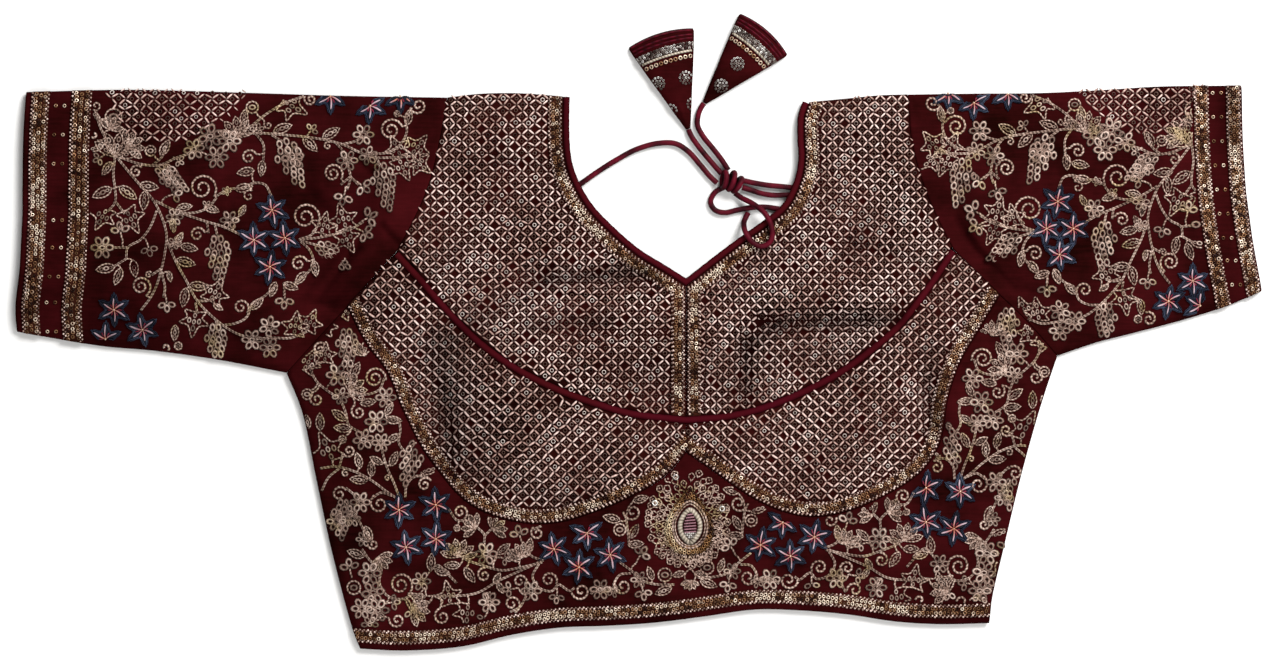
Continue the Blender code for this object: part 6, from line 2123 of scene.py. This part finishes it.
def teardrop(half_width, top, foot, count=44, sharp=0.0):
    """A closed drop round the motif's middle, with its point up; sharp draws its foot to a point too."""
    up, out = np.cos(circle(count)), np.sin(circle(count))
    wide = half_width * out * (1.0 - 0.3 * np.maximum(up, 0.0) ** 2 - sharp * np.maximum(-up, 0.0) ** 3)
    return np.column_stack([MOTIF_HEART[0] + wide, MOTIF_HEART[1] + np.where(up > 0, top, foot) * up])


def motif_body(finish):
    """The stuffed teardrop under the motif's cords and sequins."""
    ends = [row[0] for row in MOTIF_SECTIONS]
    around = np.linspace(-1.0, 1.0, 25)
    profile = read_off(MOTIF_PROFILE, np.abs(around), 1)
    rings = []
    for row in [ends[0], *np.linspace(ends[1], ends[-2], 34), ends[-1]]:
        half_width, thick = read_off(MOTIF_SECTIONS, row, 1), read_off(MOTIF_SECTIONS, row, 2)
        flat = np.column_stack([MOTIF_CENTRE[0] + around * half_width, np.full(25, MOTIF_CENTRE[1] + row)])
        floor = cloth_top(flat) + MOTIF_LIFT
        over, under = np.column_stack([flat, floor + thick * profile]), np.column_stack([flat, floor])
        rings.append(np.vstack([over, under[::-1][1:-1]]))
    return rings_mesh("motif_teardrop", rings, finish)


def aureole(room, noise):
    """Rows of loops fanned round the teardrop, and the place of a bead in every other row."""
    rays, beads = LaidThread(cloth_top, room), []
    base = closed_up(teardrop(13.8, 21.0, 17.6, 90))
    t = np.linspace(0.0, 1.0, 8)
    for row, (inset, length, width, count) in enumerate(AUREOLE_ROWS):
        shares = (np.arange(count) + 0.5 * (row % 2)) / count * 0.995
        wide = 0.5 * width * np.sin(math.pi * t ** 1.4)
        for root, after in zip(at_fractions(base, shares), at_fractions(base, shares + 0.004)):
            ahead = unit(after - root)
            out = np.array([ahead[1], -ahead[0]])
            out = out if out @ (root - MOTIF_CENTRE) > 0 else -out
            reach = 1.1 - 0.18 * out[0] + (0.3 if out[1] > 0 else 0.5) * out[1]
            out = out + noise.normal(0, 0.14) * np.array([-out[1], out[0]])
            side = np.outer(wide, [-out[1], out[0]])
            spine = root + np.outer(inset * reach + length * t, out)
            rays.lay(np.vstack([spine + side, (spine - side)[-2:0:-1]]), 1.05, 0.85 + 0.2 * (row % 2),
                     closed=True)
            if row % 2:
                beads.append(root + out * (inset * reach + 0.64 * length))
    return rays, beads


def motif_cords(made):
    """The rings of cord and the stripes of floss on the teardrop."""
    top = LaidThread(motif_top)
    top.lay(teardrop(10.8, 15.4, 13.6), 1.7, 1.0, closed=True)
    top.lay(teardrop(9.3, 13.6, 12.2), 1.1, 0.7, closed=True)
    top.finish("motif_cord_ring", made["zari"])
    top = LaidThread(motif_top)
    top.lay(teardrop(6.2, 10.0, 10.2, sharp=0.45), 3.7, 1.2, closed=True)
    top.finish("motif_cream_ring", made["cream"])
    core = LaidThread(motif_top)
    x, y = MOTIF_HEART
    for k in range(7):
        up = y + 7.2 - 1.8 * k
        reach = 1.9 + 1.9 * math.sin(min(k, 4) / 4 * math.pi / 2)
        core.lay(spaced(np.array([(x - reach, up - 0.3), (x + reach, up + 0.3)]), 5), 1.15, 0.9)
    core.finish("motif_floss_stripes", made["plum"])


def motif_sequins(made, noise):
    """The silver grain in the heart of the teardrop and three rings of sequins round its edge."""
    dots = np.array([(x, y) for x in np.arange(27.4, 36.4, 1.2) for y in np.arange(-105.6, -101.2, 1.2)])
    dots = dots[np.hypot(*((dots - MOTIF_HEART) / (4.6, 8.2)).T) < 1.0]
    scatter("motif_grain", "bead", "zari_applique", made["silver"], dots, (1.3, 1.3, 0.9),
            shade=noise.uniform(0.2, 0.9, len(dots)), ground=motif_top)
    edge = []
    for scale, pitch in MOTIF_RINGS:
        line = closed_up(MOTIF_MIDDLE + (MOTIF_LINE - MOTIF_MIDDLE) * scale)
        edge.append(spaced(line, int(lengths_along(line)[-1] / pitch) + 1)[:-1])
    edge = np.vstack(edge)
    x, y = (edge - MOTIF_CENTRE).T
    # painted light: brighter to the lower left, with a painted highlight in one patch at the left
    bright = 0.42 - 0.3 * (x + 0.5 * y) / 14 + noise.normal(0, 0.16, len(edge))
    bright += 0.8 * np.exp(-((x + 12.5) ** 2 + (y - 3.0) ** 2) / 26.0)
    scatter("motif_sequins", "sequin", "sequin_border", made["gold_sequin"], edge, (2.9, 2.9, 0.6),
            shade=np.clip(bright, 0.02, 1.0), tilt=0.25, seed=9, ground=motif_top, lift=0.15)


class CHOLI_OT_centre_motif(bpy.types.Operator):
    """Makes the stuffed teardrop at the centre front with its aureole of zari loops"""
    bl_idname = "choli.centre_motif"
    bl_label = "Centre Motif"

    def execute(self, context):
        sizes, made = context.scene.choli_sizes, finishes_of(context)
        body = motif_body(made["silk"])
        finish_piece(body, "zari_applique", "centre_motif")
        room = room_in(grid_outline(PANELS["midriff"][2:]))
        noise = np.random.default_rng(21)
        rays, beads = aureole(room, noise)
        zari = rays.finish("motif_aureole", made["zari"])
        motif_cords(made)
        motif_sequins(made, noise)
        # large sequins at their lightest tones: painted highlights of the glare round the teardrop
        glow = scatter("aureole_sequins", "sequin", "sequin_border", made["silver"], AUREOLE_BRIGHT,
                       (4.4, 4.4, 0.9), shade=[1.0, 0.8, 0.65, 1.0], lift=0.5)
        buds = scatter("aureole_beads", "bead", "zari_applique", made["bead"], beads, (1.3, 1.3, 1.0),
                       shade=noise.uniform(0, 0.7, len(beads)), lift=-0.1)
        foot = Embroidery(room, sizes)
        foot.leaf(24.6, -127.6, 195, 8, 1)
        foot.leaf(38.6, -127.6, -15, 8, 1)
        foot.cord(turned(leaf_outline(0.36) - (0.5, 0.0), 31.6, -129.0, 90, 9.5), 1.3, closed=True)
        foot.fan(31.6, -131.5, -90, 6.5, 1)
        sewn("midriff", [zari, buds, glow] + foot.finish("motif_foot", made))
        return {"FINISHED"}


# Stage

LIGHTS = [  # name, place, side of the square, power
    ("Key", (0.95, 1.25, 1.5), 1.1, 70.0),
    ("Fill", (0.3, -1.0, 1.4), 1.2, 16.0),
]
FLOOR_SIDE, FLOOR_DROP = 6.0, 0.0006      # half its side and its depth under the blouse, in m
PAPER_DARKER = 0.97


class CHOLI_OT_stage(bpy.types.Operator):
    """Sets a pale floor and soft lights"""
    bl_idname = "choli.stage"
    bl_label = "Stage"

    def execute(self, context):
        # matt uncoated paper: an even near white that takes soft shadows
        paper, tree, shader = new_finish("Matt White Paper", 0.9)
        place = link_node(tree, "ShaderNodeTexCoord").outputs["Object"]
        grain = link_node(tree, "ShaderNodeTexNoise", {}, {"Scale": 900.0, "Vector": place})
        light = tuple(context.scene.choli_colours.floor_1)
        paint(tree, shader, grain.outputs["Fac"], [(*(PAPER_DARKER * v for v in light[:3]), 1.0), light])
        corners = np.array([(x * FLOOR_SIDE, y * FLOOR_SIDE, -FLOOR_DROP)
                            for x, y in ((-1, -1), (1, -1), (1, 1), (-1, 1))])
        floor = new_mesh_object("paper_floor", corners / MM, [(0, 1, 2, 3)], paper, turn_out=False)
        for name, place, size, power in LIGHTS:
            data = bpy.data.lights.new(name, "AREA")
            data.size, data.energy = size, power
            lamp = add_object(name, data)
            lamp.location = place
            lamp.rotation_euler = Vector(place).to_track_quat("Z", "Y").to_euler()
        world = bpy.data.worlds.new("Studio")
        world.use_nodes = True
        sky = world.node_tree.nodes["Background"]
        sky.inputs["Color"].default_value = (1.0, 1.0, 1.0, 1.0)
        sky.inputs["Strength"].default_value = 0.3
        context.scene.world = world
        context.scene.view_settings.view_transform = "Standard"
        return {"FINISHED"}


OPERATORS = (
    CHOLI_OT_camera, CHOLI_OT_cords, CHOLI_OT_borders, CHOLI_OT_lattice, CHOLI_OT_vines,
    CHOLI_OT_cuff_pairs, CHOLI_OT_centre_motif, CHOLI_OT_backs, CHOLI_OT_cups, CHOLI_OT_midriff,
    CHOLI_OT_sleeves, CHOLI_OT_pipings, CHOLI_OT_stage,
)


class CHOLI_PT_panel(bpy.types.Panel):
    """Lists the pieces of the blouse in the order they are made"""
    bl_idname = "CHOLI_PT_panel"
    bl_label = "Choli Blouse"
    bl_space_type = "VIEW_3D"
    bl_region_type = "UI"
    bl_category = "Choli"

    def draw(self, context):
        for group in (context.scene.choli_sizes, context.scene.choli_colours):
            box = self.layout.box()
            for name in group.__annotations__:
                box.prop(group, name)
        for made in OPERATORS:
            self.layout.operator(made.bl_idname)


CLASSES = (CholiSizes, CholiColours, *OPERATORS, CHOLI_PT_panel)


def register():
    for made in CLASSES:
        bpy.utils.register_class(made)
    bpy.types.Scene.choli_sizes = bpy.props.PointerProperty(type=CholiSizes)
    bpy.types.Scene.choli_colours = bpy.props.PointerProperty(type=CholiColours)


def unregister():
    del bpy.types.Scene.choli_colours
    del bpy.types.Scene.choli_sizes
    for made in reversed(CLASSES):
        bpy.utils.unregister_class(made)


def main():
    register()
    for made in OPERATORS:
        group, name = made.bl_idname.split(".")
        getattr(getattr(bpy.ops, group), name)()


if __name__ == "__main__":
    main()
